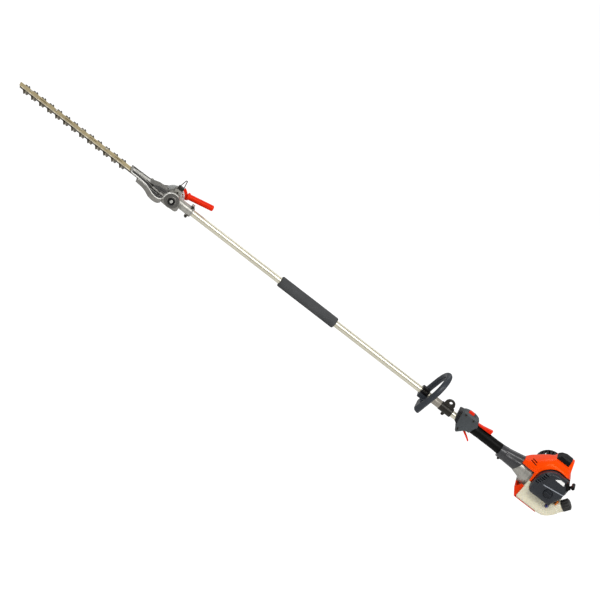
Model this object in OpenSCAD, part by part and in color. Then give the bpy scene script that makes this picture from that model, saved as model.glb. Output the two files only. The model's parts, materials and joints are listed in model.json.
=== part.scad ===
// Petrol long-reach hedge trimmer, lying level.
// X runs from the cutter (negative) to the engine (positive), Y is across, Z is up.
// The origin is the centre of the flat foot under the fuel tank.

/* [Shaft] */
// Height of the shaft axis above the flat foot
axis_h = 77; // [75:1:90]
// Outer diameter of the shaft tube
tube_d = 24; // [22:0.5:26]
// Wall of the shaft tube
tube_wall = 1.5; // [1:0.1:2.5]
// Length of the shaft tube
tube_l = 1440; // [1100:10:1900]
// Diameter of the drive shaft inside the tube
shaft_d = 8; // [7:0.5:9]
// Length of each plastic bush that carries the drive shaft
bush_l = 30; // [20:1:40]
// Length of tube held in the shaft socket
tube_in_socket = 58; // [40:1:66]
// Length of tube held in the neck of the cutter head
tube_in_neck = 41; // [35:1:45]

/* [Grips] */
// Length of the foam grip
foam_l = 240; // [160:5:300]
// Outer diameter of the foam grip
foam_d = 40; // [34:1:46]
// Bare tube between the foam grip and the loop handle clamp
foam_gap = 374; // [250:5:420]
// Length of the rear grip
grip_l = 112; // [100:1:130]
// Outer diameter of the rear grip
grip_d = 40; // [38:0.5:41]
// Height of the rear grip's centre above the shaft axis
grip_rise = 6; // [3:0.5:6]
// Thickness of the loop handle's bar
loop_bar_d = 22; // [18:0.5:25]
// Width of the loop handle between its bar centres
loop_w = 132; // [120:1:150]
// Height of the loop's bar centre above the shaft axis
loop_rise = 99; // [88:1:120]
// Drop of the barrier end below the shaft axis
barrier_drop = 35; // [32:1:45]
// Backward lean of the loop handle in degrees
loop_lean = 9; // [5:0.5:11]
// Length of the loop handle's clamp
clamp_l = 42; // [38:1:46]
// Length of the spacer sleeve behind the loop handle
sleeve_l = 44; // [30:1:60]
// Length of the hanger clamp
hanger_l = 49; // [44:1:56]
// Radius of the hanger eye
hanger_eye_r = 6; // [5:0.25:7]
// Bare tube between the hanger clamp and the throttle housing
hanger_gap = 10; // [5:1:20]

/* [Cutter] */
// Distance from one cutter tooth to the next
tooth_pitch = 34.5; // [32:0.5:36]
// Number of teeth on each side of a blade
tooth_n = 13; // [9:1:15]
// Reach of a tooth beyond the blade's spine
tooth_reach = 24; // [20:1:26]
// Width of a tooth where it leaves the spine
tooth_root = 17; // [14:0.5:18]
// Width of a tooth at its tip
tooth_tip = 7; // [5:0.5:9]
// Width of the guide bar and of the blades' spines
bar_w = 30; // [26:1:34]
// Thickness of the guide bar
bar_t = 3; // [2.5:0.1:3.5]
// Thickness of each blade
blade_t = 2.5; // [2:0.1:3]
// Half of a blade's stroke
blade_throw = 8.6; // [7:0.1:9]

/* [Cutter head] */
// Diameter of the knuckle that the head turns on
knuckle_d = 48; // [46:1:50]
// Width of the knuckle between the fork's ears
knuckle_w = 40; // [40:1:46]
// Outer diameter of the neck
neck_d = 34; // [32:0.5:36]
// Length of the neck from the tilt axis
neck_l = 84; // [80:1:92]
// Diameter of the tilt bolt
pivot_d = 10; // [8:0.5:12]
// Thickness of the sector plate
sector_t = 5; // [4:0.5:6]
// Radius of the sector plate
sector_r = 38; // [37:0.5:40]
// Angle between the index holes in the sector plate
index_step = 15; // [15:1:16]
// Thickness of the fork's ears
ear_t = 10; // [8:0.5:12]
// Diameter of the adjusting handle
lever_d = 21; // [18:0.5:22]
// Length of the adjusting handle
lever_l = 96; // [70:1:110]
// Full width of the gear case
case_w = 118; // [104:1:124]
// Width of the gear case's nose
nose_w = 62; // [56:1:68]
// Length of the gear case in front of the tilt axis
case_l = 175; // [168:1:195]

/* [Engine] */
// Length of the shaft socket
socket_l = 84; // [78:1:90]
// Width of the fuel tank
tank_w = 128; // [120:1:136]
// Thickness of the sheet guard under the tank
guard_t = 3; // [2:0.5:3]
// Wall of the moulded engine covers
cover_wall = 2.6; // [2:0.1:3]
// Depth of the air filter cover
filter_depth = 30; // [26:1:36]
// Outer diameter of the fuel cap
cap_d = 42; // [38:1:44]
// Diameter of the flywheel
flywheel_d = 80; // [74:1:82]
// Diameter of the clutch drum
drum_d = 52; // [48:0.5:53]
// Diameter of the crankshaft
crank_d = 12; // [10:0.5:13]
// Number of cooling fins on the cylinder
fin_n = 9; // [7:1:10]
// Diameter of the starter handle's bar
starter_bar_d = 13; // [11:0.5:14]

/* [Hidden] */
$fn = 48;
// Radial clearance of running and sliding fits
fit = 0.05;
// Clearance between neighbouring pieces that aren't fitted
gap = 0.3;

// Places along the shaft, from the engine forward
socket_back = -100;
socket_front = socket_back - socket_l;
tube_back = socket_front + tube_in_socket;
tube_front = tube_back - tube_l;
tube_bore = tube_d - 2 * tube_wall;
grip_front = socket_front - grip_l;
throttle_l = 90;
throttle_front = grip_front - throttle_l;
hanger_back = throttle_front + 3 - hanger_gap;
hanger_front = hanger_back - hanger_l;
sleeve_front = hanger_front - sleeve_l;
clamp_front = sleeve_front - clamp_l;
loop_x = sleeve_front - 10;
foam_back = clamp_front - foam_gap;
foam_front = foam_back - foam_l;
neck_back = tube_front + tube_in_neck;
pivot_x = neck_back - neck_l;

// Inner drive line, from the head back
pinion_front = 16;
pinion_l = 11;
pinion_d = 20;
pivot_gear_d = 2 * pinion_front - 1;
pivot_gear_w = 14;
bearing_l = 8;
bearing_d = 22;
drum_back = -66;
drum_front = drum_back - 22;
drum_hub_l = 26;
drum_hub_d = 14;
shaft_front = pivot_x + pinion_front + 2;
shaft_back = drum_front - 3;

// Heights of the cutter stack below the shaft axis
bar_top = -9;
bar_bottom = bar_top - bar_t;
upper_top = bar_bottom - fit;
upper_bottom = upper_top - blade_t;
lower_top = upper_bottom - fit;
lower_bottom = lower_top - blade_t;
rest_shift = 5;
slot_r = 3.2;
bolt_r = slot_r - 0.2;

// The gear case, measured forward from the tilt axis
case_back = knuckle_d / 2 + 3;
nose_x = pivot_x - case_l;
// Features along the case keep their share of its length
case_drawn_l = 175;
case_k = case_l / case_drawn_l;
case_top_z = -4;
case_bottom_z = -31;
crank_x = pivot_x - 64;
crank_gear_r = 19;
crank_pin_d = 10;
ecc_r = 7;
tail_hole_r = ecc_r + blade_throw + 0.6;
tail_r = tail_hole_r + 6;
tail_front = crank_x - tail_hole_r - blade_throw - 12;

// The blade's row of teeth, measured from the nose of the gear case
teeth_start = nose_x - 14;
bar_tip = teeth_start - tooth_n * tooth_pitch - 14;
blade_tip = bar_tip + blade_throw + 1;

// Lock on top of the knuckle
lock_r = 31.5;
lock_pin_d = 6;
pad_z = knuckle_d / 2 + 0.5;

// Engine block
bell_front = socket_back - 12;
bell_back = -24;
bell_r = 46;
case_r = 34;
crankcase_back = 46;
starter_back = 76;
cyl_x = 12;
cyl_base = 34;
cyl_top = 98;
barrel_r = 22;
fin_w = 56;
fin_pitch = 5.6;
muffler_y = 36;
plug_top = 116;
filter_y = -tank_w / 2;
filter_base_t = 6;
hood_near = filter_y + 2;
hood_far = 40;
cover_near = filter_y - filter_depth;
tank_bottom = guard_t - axis_h;
tank_trough_r = bell_r + 1.5;
tank_edge = 7;
primer_r = 6.5;
choke_r = 1.8;

// ---- shared forms ----

// Moves children from the shaft axis to their place
module place(x = 0, y = 0, z = 0) translate([x, y, axis_h + z]) children();

module rod_x(d, l) rotate([0, 90, 0]) cylinder(d = d, h = l);
module rod_y(d, l) rotate([-90, 0, 0]) cylinder(d = d, h = l);

module pipe_x(d, bore, l)
    rotate([0, 90, 0]) linear_extrude(l) difference() {
        circle(d = d);
        circle(d = bore);
    }

// An outline in X and Z, extruded across from y0 to y1
module across(y0, y1)
    translate([0, y1, 0]) rotate([90, 0, 0]) linear_extrude(y1 - y0) children();

// An outline in Y and Z, extruded along from x0 to x1
module along(x0, x1)
    translate([x0, 0, 0]) rotate([90, 0, 90]) linear_extrude(x1 - x0) children();

// An outline in X and Y, extruded up from z0 to z1
module up(z0, z1)
    translate([0, 0, z0]) linear_extrude(z1 - z0) children();

// A block between two corners
module block(a, b) translate(a) cube(b - a);

// Points on an arc about c
function arc(c, r, a0, a1, n = 8) =
    [for (i = [0:n]) let (a = a0 + (a1 - a0) * i / n) c + r * [cos(a), sin(a)]];

// A rectangle with round corners, as points
function round_box(x0, y0, x1, y1, r) = concat(
    arc([x1 - r, y0 + r], r, -90, 0, 5), arc([x1 - r, y1 - r], r, 0, 90, 5),
    arc([x0 + r, y1 - r], r, 90, 180, 5), arc([x0 + r, y0 + r], r, 180, 270, 5));

// A turned form along X, from points of radius and length
module turned_x(points) rotate([0, 90, 0]) rotate_extrude() polygon(points);

// A socket-head screw, its head above z = 0 and its shank below
module cap_screw(d, l) {
    difference() {
        cylinder(d = 1.8 * d, h = d);
        translate([0, 0, 0.5 * d]) cylinder(d = d, h = d, $fn = 6);
    }
    translate([0, 0, -l]) cylinder(d = d, h = l);
}

// ---- shaft and drive line ----

module outer_tube() color("gainsboro")
    place(tube_front) pipe_x(tube_d, tube_bore, tube_l);

bush_n = 6;
module shaft_bushes() color("dimgray")
    for (i = [0:bush_n - 1])
        place(tube_front + 20 + i * (tube_l - 40 - bush_l) / (bush_n - 1))
            pipe_x(tube_bore - 2 * fit, shaft_d + 2 * fit, bush_l);

module drive_shaft() color("silver")
    place(shaft_front) rod_x(shaft_d, shaft_back - shaft_front);

neck_bearing_x = pivot_x + 30;
drum_bearing_x = bell_front + 2;
module shaft_bearings() color("silver") {
    place(neck_bearing_x) pipe_x(bearing_d, shaft_d + 2 * fit, bearing_l);
    place(drum_bearing_x) pipe_x(bearing_d + 6, drum_hub_d + 2 * fit, bearing_l);
}

// A spur of n straight teeth, as an outline
module gear_outline(r, n, depth)
    polygon([for (i = [0:n - 1], k = [0:3])
        let (a = (i + [0, 0.22, 0.5, 0.72][k]) * 360 / n, q = k < 2 ? r : r - depth)
        q * [cos(a), sin(a)]]);

module bevel_pinion() color("darkgray")
    place(pivot_x + pinion_front) rotate([0, 90, 0]) difference() {
        union() {
            linear_extrude(pinion_l - 4) gear_outline(pinion_d / 2, 12, 2.2);
            translate([0, 0, pinion_l - 4]) cylinder(d = pinion_d - 5, h = 4);
        }
        translate([0, 0, -1]) cylinder(d = shaft_d + 2 * fit, h = pinion_l + 2);
    }

module pivot_gear() color("darkgray")
    place(pivot_x, pivot_gear_w / 2) rotate([90, 0, 0]) difference() {
        linear_extrude(pivot_gear_w) gear_outline(pivot_gear_d / 2, 18, 2.2);
        translate([0, 0, -1]) cylinder(d = pivot_d + 2 * fit, h = pivot_gear_w + 2);
    }

// ---- neck and lock, fixed to the tube ----

neck_ear_x = neck_back - 11;
neck_ear_z = neck_d / 2 + 4;
module gear_neck() color("silver")
    difference() {
        union() {
            place(pivot_x, -knuckle_w / 2) rod_y(knuckle_d, knuckle_w);
            place(pivot_x) rod_x(neck_d, neck_l);
            place(neck_back - 5) rod_x(neck_d + 3, 5);
            place(pivot_x) block([-12, -14, 0], [12, 14, pad_z]);
            for (s = [0, 180]) place(neck_ear_x) rotate([s, 0, 0])
                block([-5.5, -8, 0], [5.5, 8, neck_d / 2 + 9]);
        }
        place(tube_front) rod_x(tube_d + 2 * fit, tube_in_neck + 1);
        place(pivot_x) rod_x(shaft_d + 4, neck_l);
        place(pivot_x) rod_x(pinion_d + 3, neck_bearing_x - pivot_x);
        place(neck_bearing_x - 1) rod_x(bearing_d + 2 * fit, bearing_l + 1);
        place(pivot_x, -pivot_gear_w / 2 - 1) rod_y(pivot_gear_d + 3, pivot_gear_w + 2);
        place(pivot_x, -knuckle_w / 2 - 1) rod_y(pivot_d + 2 * fit, knuckle_w + 2);
        place(neck_back - 24) block([0, -1, -50], [30, 1, 50]);
        for (s = [-1, 1]) place(neck_ear_x, -20, s * neck_ear_z) rod_y(5 + 2 * fit, 40);
    }

module lock_bracket() color("#8c8a84")
    place(pivot_x) difference() {
        union() {
            block([-13, -15, pad_z], [13, 15, pad_z + lock_seat_h]);
            block([-9, -15, pad_z + lock_seat_h], [9, 15, pad_z + lock_seat_h + 3]);
        }
        block([-9.5, -10, pad_z + 2], [9.5, 10, pad_z + lock_seat_h + 10]);
        translate([0, -20, lock_r]) rod_y(lock_pin_d + 2 * fit, 40);
    }

lock_seat_h = 15;
lock_slide = 5;
sector_near = knuckle_w / 2 + 1;
thumb_z = pad_z + lock_seat_h + 3 + gap;
thumb_h = 11;
module lock_pin() color("#3c3228")
    place(pivot_x) {
        translate([0, -17, lock_r]) rod_y(lock_pin_d, 17 + sector_near - gap);
        block([-9, -9, pad_z + 2.3], [9, 3, thumb_z + 1]);
        // Thumb block on top
        across(-10, 4) polygon([[-11, thumb_z], [11, thumb_z], [11, thumb_z + thumb_h - 2],
            [9, thumb_z + thumb_h], [-9, thumb_z + thumb_h], [-11, thumb_z + thumb_h - 3]]);
    }

bail_wire = 3.2;
bail_h = 28;
bail_bow_r = 2.6;
bail_feet = [-6.5, 8];
// The bow's two legs lean in from the thumb block and meet in a half ring
module lock_bail() color("#50504a")
    place(pivot_x, -3, thumb_z + thumb_h) {
        difference() {
            for (i = [0, 1]) let (side = 2 * i - 1, foot = bail_feet[i],
                top = side * bail_bow_r, rise = bail_h - bail_bow_r,
                lean = atan((top - foot) / rise))
                translate([foot, 0, 0]) rotate([0, lean, 0]) translate([0, 0, -1])
                    cylinder(d = bail_wire, h = rise / cos(lean) + 1.4, $fn = 24);
            block([-20, -5, -5], [20, 5, 0]);
        }
        translate([0, 0, bail_h - bail_bow_r]) rotate([90, 0, 0])
            rotate_extrude(angle = 180) translate([bail_bow_r, 0]) circle(d = bail_wire + 0.3);
    }

// ---- cutter head, turning on the tilt bolt ----

ear_inner = sector_near + sector_t;
near_ear_y = -sector_near - ear_t;
index_angles = [for (k = [-1:6]) 90 - k * index_step];
module sector_plate() color("#c8c8c4")
    place(pivot_x, sector_near) difference() {
        rod_y(2 * sector_r, sector_t);
        translate([0, -1, 0]) rod_y(pivot_d + 2 * fit, sector_t + 2);
        for (a = index_angles) translate([lock_r * cos(a), -1, lock_r * sin(a)])
            rod_y(lock_pin_d + 0.4, sector_t + 2);
        // The lower front quarter is cut away for the gear case
        block([-60, -1, -60], [-12, sector_t + 1, -6]);
    }

// The handle lies beside the neck, so it passes it when the head is raised
lever_y = ear_inner + lever_d / 2 - 6;
lever_slope = 12.5;
lever_foot = [42, 26];
lever_collar = 3;
module adjust_handle() color("#f03c14")
    place(pivot_x) difference() {
        union() {
            // Flange on the outer face of the sector plate
            across(ear_inner, ear_inner + 9)
                polygon(concat(arc([0, 0], sector_r + 9, 14, 58, 8), [[16, sector_r + 7]],
                    arc([0, 0], 29, 62, 14, 6)));
            translate([lever_foot[0], lever_y, lever_foot[1]]) rotate([0, -lever_slope, 0])
                turned_x([[0, -4], [lever_d / 2 + lever_collar, -4],
                    [lever_d / 2 + lever_collar, 3], [lever_d / 2, 5],
                    [lever_d / 2, lever_l - 4], [lever_d / 2 - 4, lever_l], [0, lever_l]]);
        }
        translate([0, sector_near - gap, 0])
            rod_y(2 * sector_r + 2 * gap, sector_t + gap);
        translate([0, -40, 0]) rod_y(2 * sector_r + 2 * gap, 40 + sector_near);
        translate([0, ear_inner, 0]) rod_y(2 * ear_r + 2 * gap, 40);
    }

// Half of the gear case's plan, from nose to back, with its waist and shoulder
function case_half(s, inset = 0) = let (
    w = s * (case_w / 2 - inset), n = s * (nose_w / 2 - inset),
    back = pivot_x - case_back - inset, front = nose_x + inset)
    [[front, n * 0.86], [front + 8, n], [front + 50 * case_k, n * 1.04],
     [front + 72 * case_k, n * 1.16], [front + 88 * case_k, w * 0.76],
     [front + 102 * case_k, w * 0.92], [front + 116 * case_k, w],
     [back - 26, w], [back - 16, w * 0.95], [back - 7, w * 0.8], [back, w * 0.56]];
function reversed(v) = [for (i = [len(v) - 1:-1:0]) v[i]];
function case_plan(inset = 0) = concat(case_half(1, inset), reversed(case_half(-1, inset)));

// Side view of one fork ear
ear_r = 28;
module ear_outline(lobe) {
    circle(r = ear_r);
    polygon([[0, ear_r], [-26, 18], [-48, 4], [-48, bar_top], [-36, bar_top], [0, -ear_r]]);
    if (lobe) polygon(concat([[0, 0], [-26, -12], [-26, -26], [-12, -27], [4, -26.5]],
        arc([25, -14], 11.5, -95, 60, 8)));
}

hump_w = 2 * crank_gear_r + 8;
hump_foot = hump_w / 2 + 1;
// Screws of the gear case: place from the tilt axis, and height of the seat
case_screw_spots = [[-50 * case_k, 38, -25], [-88 * case_k, 36, -23],
    [-131 * case_k, 24, -18]];

// The case's top falls off on both sides of the hump
module case_slopes() for (s = [-1, 1]) place() along(nose_x - 1, pivot_x - 20)
    polygon([[s * hump_foot, case_top_z], [s * 70, case_top_z - 0.26 * (70 - hump_foot)],
        [s * 70, 40], [s * hump_foot, 40]]);

module gear_case_top() color("#a5a5a0")
    difference() {
        union() {
            difference() {
                place() up(bar_top, case_top_z) polygon(case_plan());
                case_slopes();
            }
            // Hump over the crank gear, running forward into the spine
            difference() {
                place(pivot_x) across(-hump_w / 2, hump_w / 2) polygon([
                    [-case_back, bar_top], [-case_back, 12], [-34, 15],
                    [crank_x - pivot_x - 2, 11], [crank_x - pivot_x - 28, 0],
                    [-case_l + 6, case_top_z + 1.5], [-case_l + 6, bar_top]]);
                for (s = [-1, 1]) place() {
                    // Its flanks lean in
                    along(nose_x - 1, pivot_x) polygon([[s * (hump_w / 2 - 9), 16],
                        [s * (hump_w / 2), case_top_z + 3], [s * (hump_w / 2 + 2), 16]]);
                    up(case_top_z, 40) polygon([[nose_x - 1, s * 4.5], [nose_x - 1, s * 40],
                        [crank_x - 16, s * 40], [crank_x - 16, s * 22],
                        [crank_x - 38, s * 9]]);
                }
            }
            for (p = case_screw_spots, s = [-1, 1]) place(pivot_x + p[0], s * p[1], bar_top)
                cylinder(d = 11, h = case_top_z - bar_top);
            place(pivot_x) across(ear_inner, ear_inner + ear_t) ear_outline(false);
            place(pivot_x) across(near_ear_y, near_ear_y + ear_t) ear_outline(true);
        }
        // Recessed fields on both sides of the spine
        for (s = [-1, 1]) place() up(case_top_z - 2.2, case_top_z + 30) polygon([
            [nose_x + 8, s * 6], [nose_x + 8, s * (nose_w / 2 - 5)],
            [nose_x + 30 * case_k, s * (nose_w / 2 - 4)], [nose_x + 30 * case_k, s * 17],
            [nose_x + 56 * case_k, s * 17], [nose_x + 72 * case_k, s * (nose_w / 2 - 3)],
            [nose_x + 72 * case_k, s * 12]]);
        // Pocket for the crank gear
        place(crank_x, 0, bar_top - 1) cylinder(r = crank_gear_r + 1, h = 7);
        place(crank_x, 0, bar_top - 1) cylinder(d = bearing_d + 2 * fit, h = 12.5);
        place(pivot_x, -60) rod_y(pivot_d + 2 * fit, 120);
        place(pivot_x, -knuckle_w / 2 - 1) rod_y(2 * case_back, knuckle_w + 2);
        place(pivot_x, sector_near - gap) rod_y(2 * sector_r + 1, sector_t + gap);
        for (p = case_screw_spots, s = [-1, 1]) place(pivot_x + p[0], s * p[1], bar_top - 1)
            cylinder(d = 5 + 2 * fit, h = case_top_z - bar_top);
    }

module gear_case_base() color("#8c8c88")
    difference() {
        intersection() {
            place() up(case_bottom_z, bar_top) polygon(case_plan());
            // Side view: shallow under the nose, deep under the crank
            place(nose_x) across(-80, 80) polygon([
                [37 * case_k, bar_top], [37 * case_k, -24], [66 * case_k, -25],
                [82 * case_k, -27], [98 * case_k, -31], [case_l - 44 * case_k, -31],
                [case_l - 26 * case_k, -30], [case_l, -29], [case_l, bar_top]]);
        }
        case_slopes();
        // Channel for the blades and room round the crank
        place() block([nose_x - 1, -bar_w / 2 - 1, lower_bottom - 0.4],
            [crank_x, bar_w / 2 + 1, bar_top + 1]);
        place() block([tail_front - 8, -tail_r - 0.8, lower_bottom - 0.4],
            [crank_x + 2 * blade_throw + tail_r + 2, tail_r + 0.8, bar_top + 1]);
        place(crank_x, 0, case_bottom_z + 5) cylinder(d = bearing_d + 2 * fit, h = 20);
        place(pivot_x, -knuckle_w / 2 - 1) rod_y(2 * case_back, knuckle_w + 2);
        place(pivot_x, sector_near - 2) rod_y(2 * sector_r + 2, 60);
        // Room for the near ear, which runs down inside the wall
        place(pivot_x) across(near_ear_y - gap, near_ear_y + ear_t + 2) {
            circle(r = ear_r + gap);
            polygon([[-27, -60], [-27, 10], [10, 10], [10, -60]]);
        }
        place(pivot_x) across(near_ear_y - gap, near_ear_y + ear_t + 2)
            polygon([[-36 - gap, bar_top + 1], [-36 - gap, bar_top - gap], [0, -ear_r - gap],
                [10, bar_top + 1]]);
        for (p = case_screw_spots, s = [-1, 1]) place(pivot_x + p[0], s * p[1], 0) {
            translate([0, 0, p[2] - 1]) cylinder(d = 5 + 2 * fit, h = 40);
            translate([0, 0, p[2] - 20]) cylinder(d = 9.6, h = 20);
        }
    }

module case_screws() color("#333333")
    for (p = case_screw_spots, s = [-1, 1]) place(pivot_x + p[0], s * p[1], p[2])
        rotate([180, 0, 0]) cap_screw(5, case_top_z - p[2] - 1.5);

pivot_head = 5;
module pivot_bolt() color("#bebebe")
    place(pivot_x) difference() {
        union() {
            translate([0, near_ear_y, 0]) rod_y(pivot_d, ear_inner + ear_t - near_ear_y);
            translate([0, near_ear_y - pivot_head, 0]) rod_y(26, pivot_head);
            translate([0, ear_inner + ear_t, 0]) rod_y(18, 6);
        }
        translate([0, near_ear_y - pivot_head - 1, 0]) rotate([-90, 0, 0])
            linear_extrude(3) difference() {
                circle(d = 22);
                circle(d = 13);
            }
    }

module crank_gear() color("darkgray")
    place(crank_x) {
        translate([0, 0, bar_top + 0.5]) linear_extrude(4.5)
            gear_outline(crank_gear_r, 30, 2);
        translate([0, 0, case_bottom_z + 5 + gap])
            cylinder(d = crank_pin_d, h = bar_top + 11 - case_bottom_z - 5 - gap);
        translate([blade_throw, 0, upper_bottom]) cylinder(r = ecc_r, h = blade_t + 0.2);
        translate([-blade_throw, 0, lower_bottom]) cylinder(r = ecc_r, h = blade_t + 0.05);
        translate([0, 0, lower_bottom]) cylinder(r = 6, h = bar_top + 0.6 - lower_bottom);
    }

module crank_bearings() color("silver")
    for (z = [case_bottom_z + 5, bar_top + 5.5]) place(crank_x, 0, z)
        linear_extrude(6) difference() {
            circle(d = bearing_d);
            circle(d = crank_pin_d + 2 * fit);
        }

module guide_bar() color("#96875f")
    place() difference() {
        up(bar_bottom, bar_top) polygon([
            [bar_tip, -bar_w / 2 + 3], [bar_tip + 3, -bar_w / 2], [tail_front - 12, -bar_w / 2],
            [tail_front - 12, bar_w / 2], [bar_tip + 3, bar_w / 2], [bar_tip, bar_w / 2 - 3]]);
        for (x = bolt_xs) translate([x, 0, -20]) cylinder(r = bolt_r + fit, h = 20);
        for (x = bolt_xs) if (x < nose_x - 60)
            translate([0, 0, -20]) linear_extrude(20) slot_outline(x + 54, 12, 3);
    }

// A long hole with round ends
module slot_outline(x, half, r) {
    translate([x - half, -r]) square([2 * half, 2 * r]);
    for (s = [-1, 1]) translate([x + s * half, 0]) circle(r = r);
}

bolt_pitch = 108;
bolt_xs = [for (x = bar_tip + 45; x < nose_x + 40; x = x + bolt_pitch) x];

// One long side of a blade: a row of trapezoid teeth on the spine's edge
function tooth_row(s, shift) = [for (i = [0:tooth_n - 1], k = [0:3])
    let (c = teeth_start - (i + 0.5) * tooth_pitch + shift,
         half = (k == 0 || k == 3) ? tooth_root / 2 : tooth_tip / 2,
         side = k < 2 ? 1 : -1,
         y = (k == 0 || k == 3) ? bar_w / 2 : bar_w / 2 + tooth_reach)
    [c + side * half, s * y]];

module blade(shift, z0) place() difference() {
    up(z0, z0 + blade_t) difference() {
        union() {
            polygon(concat([[tail_front + shift, bar_w / 2]], tooth_row(1, shift),
                [[blade_tip + shift, bar_w / 2], [blade_tip + shift, -bar_w / 2]],
                reversed(tooth_row(-1, shift)), [[tail_front + shift, -bar_w / 2]]));
            slot_tail(shift, tail_r);
        }
        slot_tail(shift, tail_hole_r);
        for (x = bolt_xs) slot_outline(x + shift, blade_throw + 1, slot_r);
    }
}

// The blade's tail is a long eye round the crank
module slot_tail(shift, r) {
    translate([crank_x + shift - blade_throw - 1, -r]) square([2 * blade_throw + 2, 2 * r]);
    for (s = [-1, 1]) translate([crank_x + shift + s * (blade_throw + 1), 0]) circle(r = r);
}

module upper_blade() color("#6e695f") blade(rest_shift, upper_bottom);
module lower_blade() color("#5f5a50") blade(-rest_shift, lower_bottom);

module blade_bolts() color("#9b9b96")
    for (x = bolt_xs) place(x) {
        translate([0, 0, lower_bottom - 0.3]) cylinder(r = bolt_r, h = bar_top - lower_bottom);
        translate([0, 0, lower_bottom - 2.3]) cylinder(r = 5.5, h = 2);
        if (x < nose_x - 6) translate([0, 0, bar_top]) cylinder(r = 4.5, h = 3, $fn = 6);
    }

// ---- grips and clamps on the tube ----

module foam_grip() color("#4b4c4e")
    place(foam_front) turned_x(concat(
        [[tube_d / 2 + fit, 0]],
        arc([foam_d / 2 - 3, 3], 3, -90, 0, 4),
        arc([foam_d / 2 - 3, foam_l - 3], 3, 0, 90, 4),
        [[tube_d / 2 + fit, foam_l]]));

// Puts a Y-Z outline form in the leaning plane of the loop handle
module loop_plane() place(loop_x) rotate([0, loop_lean, 0]) rotate([90, 0, 90]) children();

loop_r = loop_w / 2;
loop_arc_z = loop_rise - loop_r;
loop_corner = 24;
loop_bottom = -tube_d / 2 - loop_bar_d / 2 - 3;
module loop_leg(y, z0, z1) translate([y, z0, 0]) rotate([-90, 0, 0])
    cylinder(d = loop_bar_d, h = z1 - z0);
module loop_handle() color("#3c4046")
    difference() {
        union() {
            loop_plane() {
                translate([0, loop_arc_z, 0]) rotate_extrude(angle = 180)
                    translate([loop_r, 0]) circle(d = loop_bar_d);
                loop_leg(loop_r, loop_bottom + loop_corner, loop_arc_z);
                loop_leg(-loop_r, -barrier_drop - loop_bar_d / 2, loop_arc_z);
                translate([loop_r - loop_corner, loop_bottom + loop_corner, 0])
                    rotate([0, 0, -90]) rotate_extrude(angle = 90)
                        translate([loop_corner, 0]) circle(d = loop_bar_d);
                translate([-loop_r, loop_bottom, 0]) rotate([0, 90, 0])
                    cylinder(d = loop_bar_d, h = 2 * loop_r - loop_corner);
                // Web between the clamp and the barrier end
                translate([0, 0, -loop_bar_d / 2 - 3]) linear_extrude(loop_bar_d / 2 + 3)
                    polygon([[-loop_r - 6, -barrier_drop - 8], [-loop_r - 8, loop_bottom + 14],
                        [-14, loop_bottom + 4], [-14, loop_bottom - 8],
                        [-loop_r + 6, -barrier_drop - 8]]);
            }
            // Lower half of the clamp
            place() block([clamp_front, -22, -tube_d / 2 - 7],
                [clamp_front + clamp_l - 4, 22, -0.5]);
        }
        place(clamp_front - 20) rod_x(tube_d + 2 * fit, clamp_l + 60);
        for (x = clamp_screw_xs, y = clamp_screw_ys) place(x, y, -20)
            cylinder(d = 5 + 2 * fit, h = 25);
        // The upper half of the clamp sits on this flat
        place() block([clamp_front - 1, -23, -0.5], [clamp_front + clamp_l - 12, 23, 30]);
    }

clamp_screw_xs = [clamp_front + 8, clamp_front + 18];
clamp_screw_ys = [-16.6, 16.6];
clamp_top_z = tube_d / 2 + 7;
module loop_clamp() color("#26262a")
    place() difference() {
        along(clamp_front, clamp_front + clamp_l - 12.5) polygon([
            [-22, -0.5], [-22, 8], [-15, clamp_top_z - 3], [-9, clamp_top_z],
            [9, clamp_top_z], [15, clamp_top_z - 3], [22, 8], [22, -0.5]]);
        translate([clamp_front - 1, 0, 0]) rod_x(tube_d + 2 * fit, clamp_l + 2);
        for (x = clamp_screw_xs, y = clamp_screw_ys) translate([x, y, -1])
            cylinder(d = 5 + 2 * fit, h = 30);
        for (x = clamp_screw_xs, y = clamp_screw_ys) translate([x, y, 8])
            cylinder(d = 9.5, h = 30);
    }

module spacer_sleeve() color("#8c8a84")
    place(sleeve_front + 6) pipe_x(tube_d + 5.5, tube_d + 2 * fit, sleeve_l - 6);

hanger_d = tube_d + 9;
hanger_eye_z = 29;
hanger_dome_r = 19;
module hanger_clamp() color("#322e26")
    place(hanger_front) difference() {
        union() {
            pipe_x(hanger_d, tube_d + 2 * fit, hanger_l / 2 - 1);
            translate([hanger_l / 2, 0, 0]) pipe_x(hanger_d, tube_d + 2 * fit, hanger_l / 2);
            translate([4, 0, 0]) pipe_x(hanger_d - 2, tube_d + 2 * fit, hanger_l - 8);
            translate([hanger_l / 2, -5, hanger_eye_z - 7]) rod_y(2 * hanger_dome_r, 10);
            block([hanger_l / 2 - 19, -5, 10], [hanger_l / 2 + 19, 5, 22]);
            translate([hanger_l / 2 - 6, -7, -hanger_d / 2 - 3])
                cube([12, 14, hanger_d / 2]);
        }
        translate([-1, 0, 0]) rod_x(tube_d + 2 * fit, hanger_l + 2);
        translate([hanger_l / 2, -10, hanger_eye_z]) rod_y(2 * hanger_eye_r, 20);
        translate([hanger_l / 2, 0, -40]) cylinder(d = 6 + 2 * fit, h = 40 - tube_d / 2);
    }

// The screws of the neck, the loop handle, the hanger and the shaft socket
socket_screw_x = socket_front + 13;
socket_ear_z = -20.5;
module clamp_screws() color("#3a3a3a") {
    for (s = [-1, 1]) place(neck_ear_x, -8, s * neck_ear_z) rotate([90, 0, 0])
        cap_screw(5, 15.5);
    for (x = clamp_screw_xs, y = clamp_screw_ys) place(x, y, 8) cap_screw(5, 24);
    place(hanger_front + hanger_l / 2, 0, -hanger_d / 2 - 3) rotate([180, 0, 0])
        cap_screw(6, 7);
    place(socket_screw_x, -9, socket_ear_z) rotate([90, 0, 0]) cap_screw(5, 17);
}

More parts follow.
